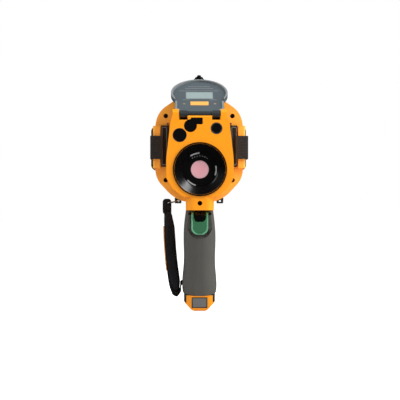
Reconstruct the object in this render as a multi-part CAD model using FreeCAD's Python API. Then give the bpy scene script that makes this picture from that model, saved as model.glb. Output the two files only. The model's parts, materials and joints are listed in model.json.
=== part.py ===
"""Thermal imaging camera: pistol-grip body, hinged lens cover, slide-out battery and hand strap."""
import FreeCAD, Part
import math
import os

Vec = FreeCAD.Vector
os.makedirs("parts", exist_ok=True)

# ---------------------------------------------------------------- driving dimensions (mm)
# The origin is the middle of the flat underside of the battery base; -Y is forward, +Z is up.
NOSE_FRONT_Y = -67.0        # front face of the front housing
SHELL_FRONT_Y = 18.0        # front flange of the rear shell
SHELL_REAR_Y = 80.0         # open back of the rear shell
COVER_REAR_Y = 93.0         # back face of the rear cover
SHELL_TOP_Z = 262.8
SHELL_BOTTOM_Z = 132.0
SHELL_HALF_WIDTH = 54.1
WALL = 2.5                  # moulded shells
FLANGE = 3.0                # front walls that carry screws and glass
NOSE_TAPER = 3.0            # how much narrower the front housing is at its back
NOSE_TOP_Z = 243.0
NOSE_BOTTOM_Z = 138.0
NECK_HALF_WIDTH = 16.5
NECK_REAR_Y = -6.0
GRIP_TOP_Z = 122.0
LENS_Z = 170.0              # height of the optical axis
BEZEL_R = 31.7
LENS_BORE_R = 17.6          # bore of the lens barrel
LENS_GLASS_R = 12.0
LENS_APERTURE_R = 10.6
FOCUS_TRAVEL = 2.0
HINGE_Y = -62.0             # lens cover hinge line
HINGE_Z = 235.0
HINGE_PIN_R = 1.3
COVER_TILT = 32.5           # open cover above the horizontal, degrees
COVER_INNER = -8.0          # inner face of the cover below the hinge line
COVER_THICK = 3.0
COVER_R = 34.6
COVER_NECK = 29.5           # half width of the cover where it leaves the hinge
KNUCKLE_HALF = 24.0
KNUCKLE_R = 4.2
WINDOW_HALF = 14.6          # half width of the cut-out between the knuckles
GRIP_TILT = 15.8            # the grip's foot leans to the rear, degrees
GRIP_MID_Y = 4.0            # middle of the grip in its own tilted frame
GRIP_DEPTH = 47.0
BASE_WIDTH = 37.6
BASE_DEPTH = 50.0
PARTING_H = 25.0            # where the battery base meets the grip, along the grip
BATTERY_WIDTH = 24.0
BATTERY_DEPTH = 27.0
BATTERY_LENGTH = 88.0
TRIGGER_WIDTH = 20.0
TRIGGER_PIN_R = 1.5
SCREEN_WIDTH = 78.0
SCREEN_HEIGHT = 58.5
SCREEN_Z = 211.0
STRAP_WIDTH = 28.0          # hand strap, front to back

# clearances (mm)
SLIDE_FIT = 0.06            # lens cell in its barrel, pins in their holes
GAP = 0.3                   # between pieces that move past each other
SEAT = 0.1                  # between pieces that are assembled once


# ---------------------------------------------------------------- helpers
def block(x0, x1, y0, y1, z0, z1):
    return Part.makeBox(x1 - x0, y1 - y0, z1 - z0, Vec(x0, y0, z0))


def rod_x(radius, y, z, x0, x1):
    return Part.makeCylinder(radius, x1 - x0, Vec(x0, y, z), Vec(1, 0, 0))


def rod_y(radius, x, z, y0, y1):
    return Part.makeCylinder(radius, y1 - y0, Vec(x, y0, z), Vec(0, 1, 0))


def rod_z(radius, x, y, z0, z1):
    return Part.makeCylinder(radius, z1 - z0, Vec(x, y, z0), Vec(0, 0, 1))


def ring_y(outer, inner, x, z, y0, y1):
    return rod_y(outer, x, z, y0, y1).cut(rod_y(inner, x, z, y0 - 1, y1 + 1))


def joined(shapes):
    """One solid from shapes that share volume."""
    whole = shapes[0].fuse(shapes[1:])
    return whole.removeSplitter()


def cut_all(shape, tools):
    for tool in tools:
        shape = shape.cut(tool)
    return shape


def mirror_x(shape):
    return shape.mirror(Vec(0, 0, 0), Vec(1, 0, 0))


def pair(shape):
    return [shape, mirror_x(shape)]


def node(name, shapes):
    """Write one sub-part: a single solid or a group of separate ones."""
    if not isinstance(shapes, list):
        shapes = [shapes]
    solids = [solid for shape in shapes for solid in shape.Solids]
    body = solids[0] if len(solids) == 1 else Part.makeCompound(solids)
    body.exportStep("parts/" + name + ".step")


def whole_outline(half):
    """Mirror the corners of a right half, given from the top middle down to the bottom middle."""
    left = [(-x, z, r) for x, z, r in reversed(half)]
    return half + left


def inset(corners, distance):
    """Corners of the outline moved inwards by distance; a negative distance grows it."""
    count = len(corners)
    area = 0.0
    for i in range(count):
        x0, z0 = corners[i - 1][0:2]
        x1, z1 = corners[i][0:2]
        area += x0 * z1 - x1 * z0
    side = 1.0 if area > 0 else -1.0
    moved = []
    for i in range(count):
        before = Vec(corners[i - 1][0], corners[i - 1][1], 0)
        here = Vec(corners[i][0], corners[i][1], 0)
        after = Vec(corners[(i + 1) % count][0], corners[(i + 1) % count][1], 0)
        run_in = (here - before).normalize()
        run_out = (after - here).normalize()
        normal_in = Vec(-run_in.y, run_in.x, 0) * side
        normal_out = Vec(-run_out.y, run_out.x, 0) * side
        bisector = normal_in + normal_out
        shift = bisector * (distance / (1.0 + normal_in.dot(normal_out)))
        turn = (run_in.x * run_out.y - run_in.y * run_out.x) * side
        radius = corners[i][2] - distance if turn > 0 else corners[i][2] + distance
        moved.append((here.x + shift.x, here.y + shift.y, max(radius, 0.4)))
    return moved


def rounded_wire(corners, place):
    """Closed wire of straight runs and tangent arcs; place(a, b) gives each point in space."""
    count = len(corners)
    arcs = []
    for i in range(count):
        before = Vec(corners[i - 1][0], corners[i - 1][1], 0)
        here = Vec(corners[i][0], corners[i][1], 0)
        after = Vec(corners[(i + 1) % count][0], corners[(i + 1) % count][1], 0)
        to_before = (before - here).normalize()
        to_after = (after - here).normalize()
        half_angle = math.acos(max(-1.0, min(1.0, to_before.dot(to_after)))) / 2
        reach = corners[i][2] / math.tan(half_angle)
        towards = (to_before + to_after).normalize()
        depth = corners[i][2] / math.sin(half_angle) - corners[i][2]
        arcs.append((here + to_before * reach, here + towards * depth, here + to_after * reach))
    edges = []
    for i in range(count):
        start, middle, end = [place(p.x, p.y) for p in arcs[i]]
        following = arcs[(i + 1) % count][0]
        next_start = place(following.x, following.y)
        edges.append(Part.Arc(start, middle, end).toShape())
        if (next_start - end).Length > 1e-4:
            edges.append(Part.LineSegment(end, next_start).toShape())
    return Part.Wire(edges)


def plate_y(corners, y0, y1):
    """Flat plate with a rounded outline in X and Z, between two depths."""
    wire = rounded_wire(corners, lambda x, z: Vec(x, y0, z))
    return Part.Face(wire).extrude(Vec(0, y1 - y0, 0))


def plate_x(corners, x0, x1):
    """Flat plate with a rounded outline in Y and Z, between two widths."""
    wire = rounded_wire(corners, lambda y, z: Vec(x0, y, z))
    return Part.Face(wire).extrude(Vec(x1 - x0, 0, 0))


def round_box(width, depth, radius, mid_y):
    """Corners of a rounded rectangle seen from above."""
    x = width / 2
    y = depth / 2
    return [(x, mid_y + y, radius), (x, mid_y - y, radius),
            (-x, mid_y - y, radius), (-x, mid_y + y, radius)]


def column(corners, h0, h1):
    """Upright column with a rounded outline in X and Y."""
    wire = rounded_wire(corners, lambda x, y: Vec(x, y, h0))
    return Part.Face(wire).extrude(Vec(0, 0, h1 - h0))


def leaned(shape):
    """Turn a shape from the grip's own upright frame to its place."""
    turned = shape.copy()
    turned.rotate(Vec(0, 0, 0), Vec(1, 0, 0), GRIP_TILT)
    return turned


def opened(shape):
    """Turn a lens cover shape from its own frame (along +Y, inner face up) to its open place."""
    turned = shape.copy()
    turned.rotate(Vec(0, 0, 0), Vec(1, 0, 0), COVER_TILT)
    turned.translate(Vec(0, HINGE_Y, HINGE_Z))
    return turned


# ---------------------------------------------------------------- outlines
SHELL_HALF = [
    (22, SHELL_TOP_Z, 28),
    (49.4, 244.2, 28),
    (SHELL_HALF_WIDTH, 229, 30),
    (SHELL_HALF_WIDTH, 161, 28),
    (33.5, 138.5, 44),
    (19.4, SHELL_BOTTOM_Z, 22),
]
SHELL = whole_outline(SHELL_HALF)
SHELL_INSIDE = inset(SHELL, WALL)

NOSE_HALF = [
    (28, NOSE_TOP_Z, 6),
    (33.5, 236, 8),
    (37, 204, 60),
    (39.6, 182, 60),
    (39.4, 159, 9),
    (31.5, 147, 10),
    (20, NOSE_BOTTOM_Z, 8),
]
NOSE = whole_outline(NOSE_HALF)
NOSE_BACK = inset(NOSE, NOSE_TAPER)

SHELL_SCREWS = [(41.3, 238.0), (41.3, 158.6)]
SCREW_HEAD_R = 2.7
SCREW_SHANK_R = 1.4

# side doors: a strip beside the nose and a tab that wraps round the side block
BLOCK_INNER_X = SHELL_HALF_WIDTH - 6.3
BLOCK_OUTER_X = SHELL_HALF_WIDTH + 2.9
BLOCK_FRONT_Y = 12.0
BLOCK_Z = (173.4, 225.4)
DOOR_HINGE = (38.5, 13.0)
TAB_Z = (184.5, 213.0)
TAB_THICK = 3.0
TAB_REAR_Y = 38.0

CHASSIS_Y = SHELL_FRONT_Y + FLANGE
CHASSIS_THICK = 3.0
BOARD_Y = 60.0
PILLARS = [(38.0, 232.0), (38.0, 166.0)]


# ---------------------------------------------------------------- front housing
def front_housing():
    front = rounded_wire(NOSE, lambda x, z: Vec(x, NOSE_FRONT_Y, z))
    back = rounded_wire(NOSE_BACK, lambda x, z: Vec(x, SHELL_FRONT_Y, z))
    outer = Part.makeLoft([front, back], True, True)
    front_in = rounded_wire(inset(NOSE, WALL), lambda x, z: Vec(x, NOSE_FRONT_Y + FLANGE, z))
    back_in = rounded_wire(inset(NOSE_BACK, WALL), lambda x, z: Vec(x, SHELL_FRONT_Y + 1, z))
    inner = Part.makeLoft([front_in, back_in], True, True)

    # the roof drops at the front so that the open cover can lie over it
    low_z = HINGE_Z - 7
    reach = SHELL_HALF_WIDTH
    roof = [(NOSE_FRONT_Y - 1, low_z, 0.5), (HINGE_Y + 15, low_z, 8), (HINGE_Y + 33, 239.5, 8),
            (SHELL_FRONT_Y + 10, NOSE_TOP_Z + 1, 0.5), (SHELL_FRONT_Y + 10, 100, 0.5),
            (NOSE_FRONT_Y - 1, 100, 0.5)]
    outer = outer.common(plate_x(roof, -reach, reach))
    inner = inner.common(plate_x(inset(roof, WALL), -reach, reach))

    brow = [(NOSE_FRONT_Y, 233, 2), (HINGE_Y + 22, 233, 4), (HINGE_Y + 26, 220, 0.5),
            (NOSE_FRONT_Y, 220, 0.5)]
    outer = outer.fuse(plate_x(brow, -(WINDOW_HALF - GAP), WINDOW_HALF - GAP))
    ear = plate_x([(NOSE_FRONT_Y + 0.5, 241, 5.4), (NOSE_FRONT_Y + 11.5, 241, 5.4),
                   (NOSE_FRONT_Y + 13, 222, 1), (NOSE_FRONT_Y + 0.5, 222, 1)], 24.7, 31.9)
    outer = outer.fuse(pair(ear))

    plan = [(NECK_HALF_WIDTH, NECK_REAR_Y, 13), (NECK_HALF_WIDTH, NOSE_FRONT_Y, 10),
            (-NECK_HALF_WIDTH, NOSE_FRONT_Y, 10), (-NECK_HALF_WIDTH, NECK_REAR_Y, 13)]
    neck = column(plan, GRIP_TOP_Z, NOSE_BOTTOM_Z + 4)
    hollow = column(inset(plan, 5), GRIP_TOP_Z + 3, NOSE_BOTTOM_Z + 5)
    housing = outer.fuse(neck).cut(inner).cut(hollow)

    bores = [rod_y(BEZEL_R - 1.7, 0, LENS_Z, NOSE_FRONT_Y - 1, NOSE_FRONT_Y + FLANGE + 1)]
    for x, z, radius in WINDOWS:
        bores.append(rod_y(radius, x, z, NOSE_FRONT_Y - 1, NOSE_FRONT_Y + WINDOW_THICK))
        bores.append(rod_y(radius - 1.5, x, z, NOSE_FRONT_Y, MODULE_REAR_Y))
    bores.append(plate_y(RANGE_WINDOW, NOSE_FRONT_Y - 1, NOSE_FRONT_Y + WINDOW_THICK))
    bores.append(rod_y(2.8, 0, CATCH_Z, NOSE_FRONT_Y - 1, NOSE_FRONT_Y + 3.5))
    bores.append(rod_x(HINGE_PIN_R, HINGE_Y, HINGE_Z, -31, 31))
    return cut_all(housing, bores)


WINDOWS = [(-23.8, 210.0, 8.3), (-11.2, 221.0, 7.6), (19.4, 218.0, 7.0)]
WINDOW_THICK = 2.0
MODULE_REAR_Y = -51.0
CATCH_Z = 130.2
RANGE_WINDOW = [(-11.0, 230.6, 1.5), (3.4, 230.6, 1.5), (3.4, 222.6, 1.5), (-11.0, 222.6, 1.5)]


def sensor_windows():
    y0 = NOSE_FRONT_Y + 0.2
    y1 = NOSE_FRONT_Y + WINDOW_THICK
    camera, lamp, laser = [rod_y(r - SEAT, x, z, y0, y1) for x, z, r in WINDOWS]
    lamp = joined([lamp, plate_y(inset(RANGE_WINDOW, SEAT), y0, y1)])
    node("sensor_windows", [camera, lamp, laser])


def optics():
    """Modules behind the windows, carried by a bracket that stands on the lens barrel."""
    names = ["visible_camera", "lamp_module", "laser_module"]
    for name, (x, z, radius) in zip(names, WINDOWS):
        body = rod_y(radius - 2.2, x, z, NOSE_FRONT_Y + WINDOW_THICK + GAP, MODULE_REAR_Y)
        node(name, body)
    plate = block(-30, 27, MODULE_REAR_Y, MODULE_REAR_Y + 2, 203, 225)
    leg = block(-9, 9, MODULE_REAR_Y, MODULE_REAR_Y + 8, BARREL_TOP_Z - 2, 206)
    leg = leg.cut(rod_y(BARREL_R + SEAT, 0, LENS_Z, MODULE_REAR_Y - 1, MODULE_REAR_Y + 9))
    node("optics_bracket", joined([plate, leg]))


# ---------------------------------------------------------------- lens
BARREL_R = 20.5
BARREL_TOP_Z = LENS_Z + BARREL_R
BARREL_Y = (-57.0, 5.0)
CELL_Y = (-55.0, -18.0)
SCREW_X = 28.5
FOCUS_SCREW_R = 1.55
MOTOR_R = 5.2
MOTOR_Y = (-29.5, -8.0)


def lens_bezel():
    profile = [
        (BEZEL_R - 1.4, NOSE_FRONT_Y - 1.5), (BEZEL_R - 0.4, NOSE_FRONT_Y - 1.5),
        (BEZEL_R, NOSE_FRONT_Y - 1.0), (BEZEL_R, NOSE_FRONT_Y),
        (BEZEL_R - 2.0, NOSE_FRONT_Y), (BEZEL_R - 2.0, NOSE_FRONT_Y + 6),
        (BARREL_R + 4, NOSE_FRONT_Y + 11), (BARREL_R + SEAT, NOSE_FRONT_Y + 11),
        (BARREL_R + SEAT, NOSE_FRONT_Y + 8.6),
    ]
    points = [Vec(r, y, LENS_Z) for r, y in profile]
    face = Part.Face(Part.makePolygon(points + [points[0]]))
    return face.revolve(Vec(0, 0, LENS_Z), Vec(0, 1, 0), 360)


def lens_barrel():
    front, rear = BARREL_Y
    tube = rod_y(BARREL_R, 0, LENS_Z, front, rear)
    collar = rod_y(BARREL_R + 3.9, 0, LENS_Z, NOSE_FRONT_Y + 11, NOSE_FRONT_Y + 13)
    saddle = block(15, SCREW_X - 2, MOTOR_Y[0] + 2, MOTOR_Y[1] - 2, LENS_Z - 5, LENS_Z + 5)
    saddle = saddle.cut(rod_y(MOTOR_R + SEAT, SCREW_X, LENS_Z, MOTOR_Y[0] - 1, MOTOR_Y[1] + 1))
    bearing = block(15, SCREW_X + 3, NOSE_FRONT_Y + 13, NOSE_FRONT_Y + 16, LENS_Z - 3, LENS_Z + 3)
    body = joined([tube, collar, saddle, bearing])
    bore = rod_y(LENS_BORE_R, 0, LENS_Z, front - 1, CELL_Y[1] + FOCUS_TRAVEL)
    throat = rod_y(9.5, 0, LENS_Z, front, rear + 1)
    slot = block(LENS_BORE_R - 4, BARREL_R + 1, ARM_Y[0] - FOCUS_TRAVEL - 1, ARM_Y[1] + 1,
                 LENS_Z - 4.4, LENS_Z + 4.4)
    screw_hole = rod_y(FOCUS_SCREW_R + SLIDE_FIT, SCREW_X, LENS_Z, -56, -50)
    body = cut_all(body, [bore, throat, slot, screw_hole])
    lugs = []
    for turn in (72, 193, 313):
        segment = ring_y(BARREL_R, LENS_BORE_R + 0.6, 0, LENS_Z, front - 1.2, front + 0.5)
        wedge = Part.makeCylinder(BARREL_R + 1, 3, Vec(0, front - 2, LENS_Z), Vec(0, 1, 0), 38)
        wedge.rotate(Vec(0, 0, LENS_Z), Vec(0, 1, 0), turn)
        lugs.append(segment.common(wedge))
    return joined([body] + lugs)


ARM_Y = (-44.0, -40.0)


def lens_cell():
    """Tube that carries the glass and slides in the barrel; its arm holds the focus nut."""
    front, rear = CELL_Y
    tube = rod_y(LENS_BORE_R - SLIDE_FIT, 0, LENS_Z, front, rear)
    arm = block(LENS_GLASS_R + 2, SCREW_X + 3, ARM_Y[0], ARM_Y[1], LENS_Z - 3.5, LENS_Z + 3.5)
    cell = joined([tube, arm])
    seat = rod_y(LENS_GLASS_R, 0, LENS_Z, front + 1.5, rear + 1)
    aperture = rod_y(LENS_APERTURE_R, 0, LENS_Z, front - 1, front + 2)
    nut = rod_y(FOCUS_SCREW_R + SLIDE_FIT, SCREW_X, LENS_Z, ARM_Y[0] - 1, ARM_Y[1] + 1)
    return cut_all(cell, [seat, aperture, nut])


def lens_stack():
    glass = LENS_GLASS_R - 0.05
    y0 = CELL_Y[0] + 1.5
    disc = rod_y(glass, 0, LENS_Z, y0, y0 + 4)
    ball = Part.makeSphere(40, Vec(0, y0 + 40 - 1.2, LENS_Z))
    bulge = rod_y(LENS_APERTURE_R - 0.3, 0, LENS_Z, y0 - 3, y0 + 1).common(ball)
    node("front_lens", joined([disc, bulge]))
    node("rear_lens", rod_y(glass, 0, LENS_Z, CELL_Y[1] - 6, CELL_Y[1] - 3))
    spacer = ring_y(glass, LENS_APERTURE_R, 0, LENS_Z, y0 + 4, CELL_Y[1] - 6)
    retainer = ring_y(glass, LENS_APERTURE_R - 1, 0, LENS_Z, CELL_Y[1] - 3, CELL_Y[1])
    node("lens_rings", [spacer, retainer])


def focus_drive():
    motor = rod_y(MOTOR_R, SCREW_X, LENS_Z, MOTOR_Y[0], MOTOR_Y[1])
    motor = motor.cut(rod_y(FOCUS_SCREW_R + SLIDE_FIT, SCREW_X, LENS_Z, MOTOR_Y[0] - 1, MOTOR_Y[0] + 5))
    node("focus_motor", motor)
    node("focus_screw", rod_y(FOCUS_SCREW_R, SCREW_X, LENS_Z, NOSE_FRONT_Y + 13.2, MOTOR_Y[0] + 4.5))


def detector():
    rear = BARREL_Y[1]
    shutter = block(-17, 17, rear, rear + 4.5, LENS_Z - 15, LENS_Z + 15)
    node("shutter_unit", shutter.cut(rod_y(8, 0, LENS_Z, rear - 1, rear + 6)))
    board_y = CHASSIS_Y - 3
    node("detector", block(-12, 12, rear + 4.5, board_y, LENS_Z - 12, LENS_Z + 12))
    node("detector_board", block(-18, 18, board_y, board_y + 1.6, LENS_Z - 18, LENS_Z + 18))


# ---------------------------------------------------------------- rear shell
def side_block():
    outline = [(BLOCK_INNER_X, BLOCK_FRONT_Y, 1), (BLOCK_OUTER_X, BLOCK_FRONT_Y, 3),
               (BLOCK_OUTER_X, 66, 6), (48, 79, 4)]
    return column(outline, BLOCK_Z[0], BLOCK_Z[1])


def socket_holes(grow):
    """Boxes for the sockets behind the right door and the card slot behind the left one."""
    holes = []
    for x0, x1, z0, z1 in (USB, VIDEO, CARD):
        holes.append(block(x0 - grow, x1 + grow, SHELL_FRONT_Y - 1, CHASSIS_Y + 4, z0 - grow, z1 + grow))
    return holes


USB = (41.0, 44.4, 187.0, 196.4)
VIDEO = (41.0, 44.4, 202.0, 209.4)
CARD = (-44.2, -41.4, 188.0, 204.0)


def rear_shell():
    outer = plate_y(SHELL, SHELL_FRONT_Y, SHELL_REAR_Y)
    shell = outer.fuse(pair(side_block()))
    shell = shell.cut(plate_y(SHELL_INSIDE, SHELL_FRONT_Y + FLANGE, SHELL_REAR_Y + 1))
    opening = plate_y(inset(NOSE_BACK, 5), SHELL_FRONT_Y - 1, SHELL_FRONT_Y + FLANGE + 1)
    shell = shell.cut(opening)
    shell = cut_all(shell, socket_holes(SEAT) + screw_holes(SHELL_FRONT_Y))
    return shell


def screw_holes(y):
    holes = []
    for x, z in SHELL_SCREWS:
        shank = rod_y(SCREW_SHANK_R + SEAT, x, z, y - 1, y + 20)
        head = rod_y(SCREW_HEAD_R + SEAT, x, z, SHELL_FRONT_Y - 1, SHELL_FRONT_Y + 1.2)
        holes += pair(shank.fuse(head))
    return holes


def shell_screws():
    screws = []
    for x, z in SHELL_SCREWS:
        head = rod_y(SCREW_HEAD_R, x, z, SHELL_FRONT_Y - 0.3, SHELL_FRONT_Y + 1.2)
        shank = rod_y(SCREW_SHANK_R, x, z, SHELL_FRONT_Y + 1, CHASSIS_Y + CHASSIS_THICK + 2)
        socket = rod_y(1.2, x, z, SHELL_FRONT_Y - 1, SHELL_FRONT_Y + 0.7)
        screws += pair(head.fuse(shank).cut(socket))
    node("shell_screws", screws)


def chassis():
    """Metal frame behind the flange; boards stand on its pillars."""
    y0 = CHASSIS_Y
    plate = plate_y(inset(SHELL_INSIDE, GAP), y0, y0 + CHASSIS_THICK)
    plate = plate.cut(block(-26, 26, y0 - 1, y0 + 5, 144, 150))
    posts = []
    for x, z in PILLARS:
        posts += pair(rod_y(3, x, z, y0 + 1, BOARD_Y))
    for z in (LENS_Z - 15, LENS_Z + 15):
        posts += pair(rod_y(2, 15, z, y0 - 1.4, y0 + 1))
    frame = joined([plate] + posts)
    return cut_all(frame, socket_holes(SEAT) + screw_holes(CHASSIS_Y))


def boards():
    main = plate_y([(44, 238, 3), (44, 160, 3), (-44, 160, 3), (-44, 238, 3)], BOARD_Y, BOARD_Y + 1.6)
    face = BOARD_Y + 1.5
    chips = [block(-9, 9, face, face + 2.5, 190, 208), block(16, 28, face, face + 2, 195, 207)]
    node("main_board", joined([main] + chips))
    back = CHASSIS_Y + CHASSIS_THICK
    right = block(39.5, 47.5, back, back + 1.6, 181, 215)
    node("port_board", cut_all(right, socket_holes(SEAT)))
    depth = SHELL_FRONT_Y + 0.4
    sockets = []
    for x0, x1, z0, z1 in (USB, VIDEO):
        case = block(x0, x1, depth, back + 1, z0, z1)
        sockets.append(case.cut(block(x0 + 0.6, x1 - 0.6, depth - 1, depth + 4, z0 + 0.6, z1 - 0.6)))
    node("port_sockets", sockets)
    x0, x1, z0, z1 = CARD
    mouth = block(x0, x1, depth, back + 1, z0, z1)
    reader = mouth.fuse(block(x0 - 1.5, x1 + 1.5, back, back + 20, z0 - 2, z1 + 2))
    slit = block(x0 + 0.9, x1 - 0.9, depth - 1, back + 16, z0 + 1.5, z1 - 1.5)
    node("card_reader", reader.removeSplitter().cut(slit))
    speaker = rod_y(9, -28, 200, back, back + 5).cut(rod_y(6, -28, 200, back + 4, back + 6))
    node("speaker", speaker)


# ---------------------------------------------------------------- rear cover, display and keys
KEY_Z = 160.0
KEYS = {"nav_key": (0.0, KEY_Z, 9.0), "back_key": (-24.0, KEY_Z, 5.0), "gallery_key": (24.0, KEY_Z, 5.0),
        "power_key": (0.0, KEY_Z - 16.0, 3.6)}
KEY_TRAVEL = 1.0
BACK_WALL = 3.0
BULGE_X = SHELL_HALF_WIDTH + 6.9


def rear_cover():
    y0 = SHELL_REAR_Y + 1
    cover = plate_y(SHELL, y0, COVER_REAR_Y)
    bulge_outline = [(BULGE_X, 229, 7), (BULGE_X, 172, 7), (40, 172, 2), (40, 229, 2)]
    bulge = plate_y(bulge_outline, y0, COVER_REAR_Y - 1)
    cover = cover.fuse(pair(bulge))
    inner_face = COVER_REAR_Y - BACK_WALL
    cover = cover.cut(plate_y(SHELL_INSIDE, y0 - 1, inner_face))
    half_w = SCREEN_WIDTH / 2
    half_h = SCREEN_HEIGHT / 2
    opening = block(-half_w, half_w, y0, COVER_REAR_Y + 1, SCREEN_Z - half_h, SCREEN_Z + half_h)
    cover = cover.cut(opening).cut(plate_y(glass_outline(0), GLASS_Y, COVER_REAR_Y + 1))
    for x, z in [(31.0, KEY_Z + 8), (31.0, KEY_Z - 6)]:
        cover = cover.fuse(pair(rod_y(2.5, x, z, KEY_BOARD_Y + 1.6, inner_face + 1)))
    for x, z, radius in KEYS.values():
        cover = cover.cut(rod_y(radius + GAP, x, z, inner_face - 1, COVER_REAR_Y + 1))
    return cover.removeSplitter()


GLASS_Y = COVER_REAR_Y - 1.4
KEY_BOARD_Y = 82.4


def glass_outline(shrink):
    half_w = SCREEN_WIDTH / 2 + 4 - shrink
    half_h = SCREEN_HEIGHT / 2 + 4 - shrink
    top = SCREEN_Z + half_h
    low = SCREEN_Z - half_h
    return [(half_w, top, 6), (half_w, low, 6), (-half_w, low, 6), (-half_w, top, 6)]


def display():
    node("touch_glass", plate_y(glass_outline(SEAT), GLASS_Y, COVER_REAR_Y - 0.2))
    inner_face = COVER_REAR_Y - BACK_WALL
    half_w = SCREEN_WIDTH / 2 + 1.5
    half_h = SCREEN_HEIGHT / 2 + 1.5
    panel = block(-half_w, half_w, inner_face - 4, inner_face, SCREEN_Z - half_h, SCREEN_Z + half_h)
    node("display_panel", panel)
    board = plate_y([(36, KEY_Z + 11, 3), (36, KEY_Z - 9, 3), (12, KEY_Z - 20, 3), (-12, KEY_Z - 20, 3),
                     (-36, KEY_Z - 9, 3), (-36, KEY_Z + 11, 3)], KEY_BOARD_Y, KEY_BOARD_Y + 1.6)
    node("key_board", board)


def keys():
    """Keys rest against the back wall and are pressed towards the board."""
    inner_face = COVER_REAR_Y - BACK_WALL
    rest = KEY_BOARD_Y + 1.6 + KEY_TRAVEL + GAP
    for name, (x, z, radius) in KEYS.items():
        cap = rod_y(radius, x, z, inner_face - 1.2, COVER_REAR_Y + 1)
        skirt = rod_y(radius + 1.2, x, z, inner_face - 1.4, inner_face - 0.1)
        stem = rod_y(1.5, x, z, rest, inner_face - 1)
        node(name, joined([cap, skirt, stem]))


# ---------------------------------------------------------------- lens cover
COVER_MID = HINGE_Z - LENS_Z
RIM = 2.6
STUD_T = HINGE_Z - CATCH_Z
CATCH_CAP_WIDTH = 10.4
CATCH_CAP_HEIGHT = 2.5


def lens_cover():
    """Drawn along +Y from the hinge line with its inner face up, then turned to its open place."""
    low = COVER_INNER - COVER_THICK
    disc = rod_z(COVER_R, 0, COVER_MID, low, COVER_INNER)
    rim = rod_z(COVER_R, 0, COVER_MID, low, COVER_INNER + RIM)
    rim = rim.cut(rod_z(COVER_R - 2.3, 0, COVER_MID, low - 1, COVER_INNER + RIM + 1))
    rim = rim.cut(block(-COVER_NECK, COVER_NECK, 0, COVER_MID - 14, COVER_INNER, COVER_INNER + RIM + 1))
    right_side = [(COVER_NECK, COVER_MID, 1), (COVER_NECK, 24, 5), (KNUCKLE_HALF, 20, 3),
                  (KNUCKLE_HALF, 7, 1)]
    neck = column(whole_outline(right_side), low, COVER_INNER)
    knuckle = rod_x(KNUCKLE_R, 0, 0, WINDOW_HALF, KNUCKLE_HALF)
    arm_outline = [(-3.5, 0, 1), (0.5, 4, 1.5), (4, 1.5, 1), (5.6, -5.6, 1), (11, COVER_INNER, 1),
                   (11, low, 1), (5, low, 2)]
    arm = plate_x(arm_outline, WINDOW_HALF, KNUCKLE_HALF)
    tab = column(round_box(13, 16, 4, COVER_MID + COVER_R + 0.5), low, COVER_INNER)
    cover = joined([disc, rim, neck, tab] + pair(knuckle) + pair(arm))
    window = block(-WINDOW_HALF, WINDOW_HALF, -6, 21, low - 1, 6)
    pin = rod_x(HINGE_PIN_R + SLIDE_FIT, 0, 0, -30, 30)
    stud = rod_z(1.5, 0, STUD_T, low - 1, COVER_INNER + 1)
    return opened(cut_all(cover, [window, pin, stud]))


def cover_catch():
    low = COVER_INNER - COVER_THICK
    cap_top = COVER_INNER + CATCH_CAP_HEIGHT
    cap = column(round_box(CATCH_CAP_WIDTH, 6.4, 3, STUD_T), COVER_INNER, cap_top)
    top_edges = [edge for edge in cap.Edges if edge.BoundBox.ZMin > cap_top - 0.01]
    cap = cap.makeFillet(CATCH_CAP_HEIGHT * 0.7, top_edges)
    head = rod_z(2.5, 0, STUD_T, COVER_INNER + 1, COVER_INNER + 4.5)
    stem = rod_z(1.5 - SEAT / 2, 0, STUD_T, low + 0.2, COVER_INNER + 1)
    return opened(joined([cap, head, stem]))


# ---------------------------------------------------------------- grip (in its own upright frame)
RECESS_FLOOR = -10.7
RECESS_HALF = 10.9
SCOOP_FLOOR = -12.6        # flat bottom of the finger scoop round the triggers
SCOOP_HALF = 20.0
SCOOP_LOW_H = 97.3
PIN_Y = -16.0
PIN_H = 127.0
TRIGGER_FOOT_H = 102.4
MOUTH_HALF = 7.2           # notch of the lower trigger that holds the upper one
MOUTH_FOOT_H = 118.4
MOUTH_SWING = 1.9          # how far the upper trigger's foot drops as it is pulled, with room
MOUTH_R = 11.8             # reach of the notch from the trigger pin
WELL_Y = GRIP_MID_Y + 1.5
WELL_TOP = 118.0
WELL_WALL = 1.5


def grip_sleeve():
    sections = [(PARTING_H, 40.4, 49.0, 17.0), (32, 41.8, 49.2, 17.5), (50, 39.2, 47.6, 17.5),
                (80, 38.0, GRIP_DEPTH, 17.0), (110, 36.2, GRIP_DEPTH, 16.5), (142, 36.4, GRIP_DEPTH, 16.0)]
    wires = []
    for h, width, depth, radius in sections:
        corners = round_box(width, depth, radius, GRIP_MID_Y)
        wires.append(rounded_wire(corners, lambda x, y, h=h: Vec(x, y, h)))
    grip = Part.makeLoft(wires, True, False)
    well = column(inset(well_outline(), -SEAT), PARTING_H - 1, WELL_TOP + WELL_WALL + SEAT)
    scoop = [(-SCOOP_HALF, 145, 1), (-SCOOP_HALF, 116, 6), (-9, SCOOP_LOW_H, 10),
             (9, SCOOP_LOW_H, 10), (SCOOP_HALF, 116, 6), (SCOOP_HALF, 145, 1)]
    recess = plate_y(scoop, GRIP_MID_Y - 40, SCOOP_FLOOR)
    slot = block(-RECESS_HALF, RECESS_HALF, GRIP_MID_Y - 40, RECESS_FLOOR, 101, 145)
    pin = rod_x(TRIGGER_PIN_R, PIN_Y, PIN_H, -14, 14)
    grip = leaned(cut_all(grip, [well, recess, slot, pin]))
    grip = grip.common(block(-40, 40, -90, 60, 0, GRIP_TOP_Z))
    anchor = strap_anchor_hole()
    return grip.cut(anchor)


def well_outline():
    width = BATTERY_WIDTH + 2 * GAP + 2 * WELL_WALL
    depth = BATTERY_DEPTH + 2 * GAP + 2 * WELL_WALL
    return round_box(width, depth, 4, WELL_Y)


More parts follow.
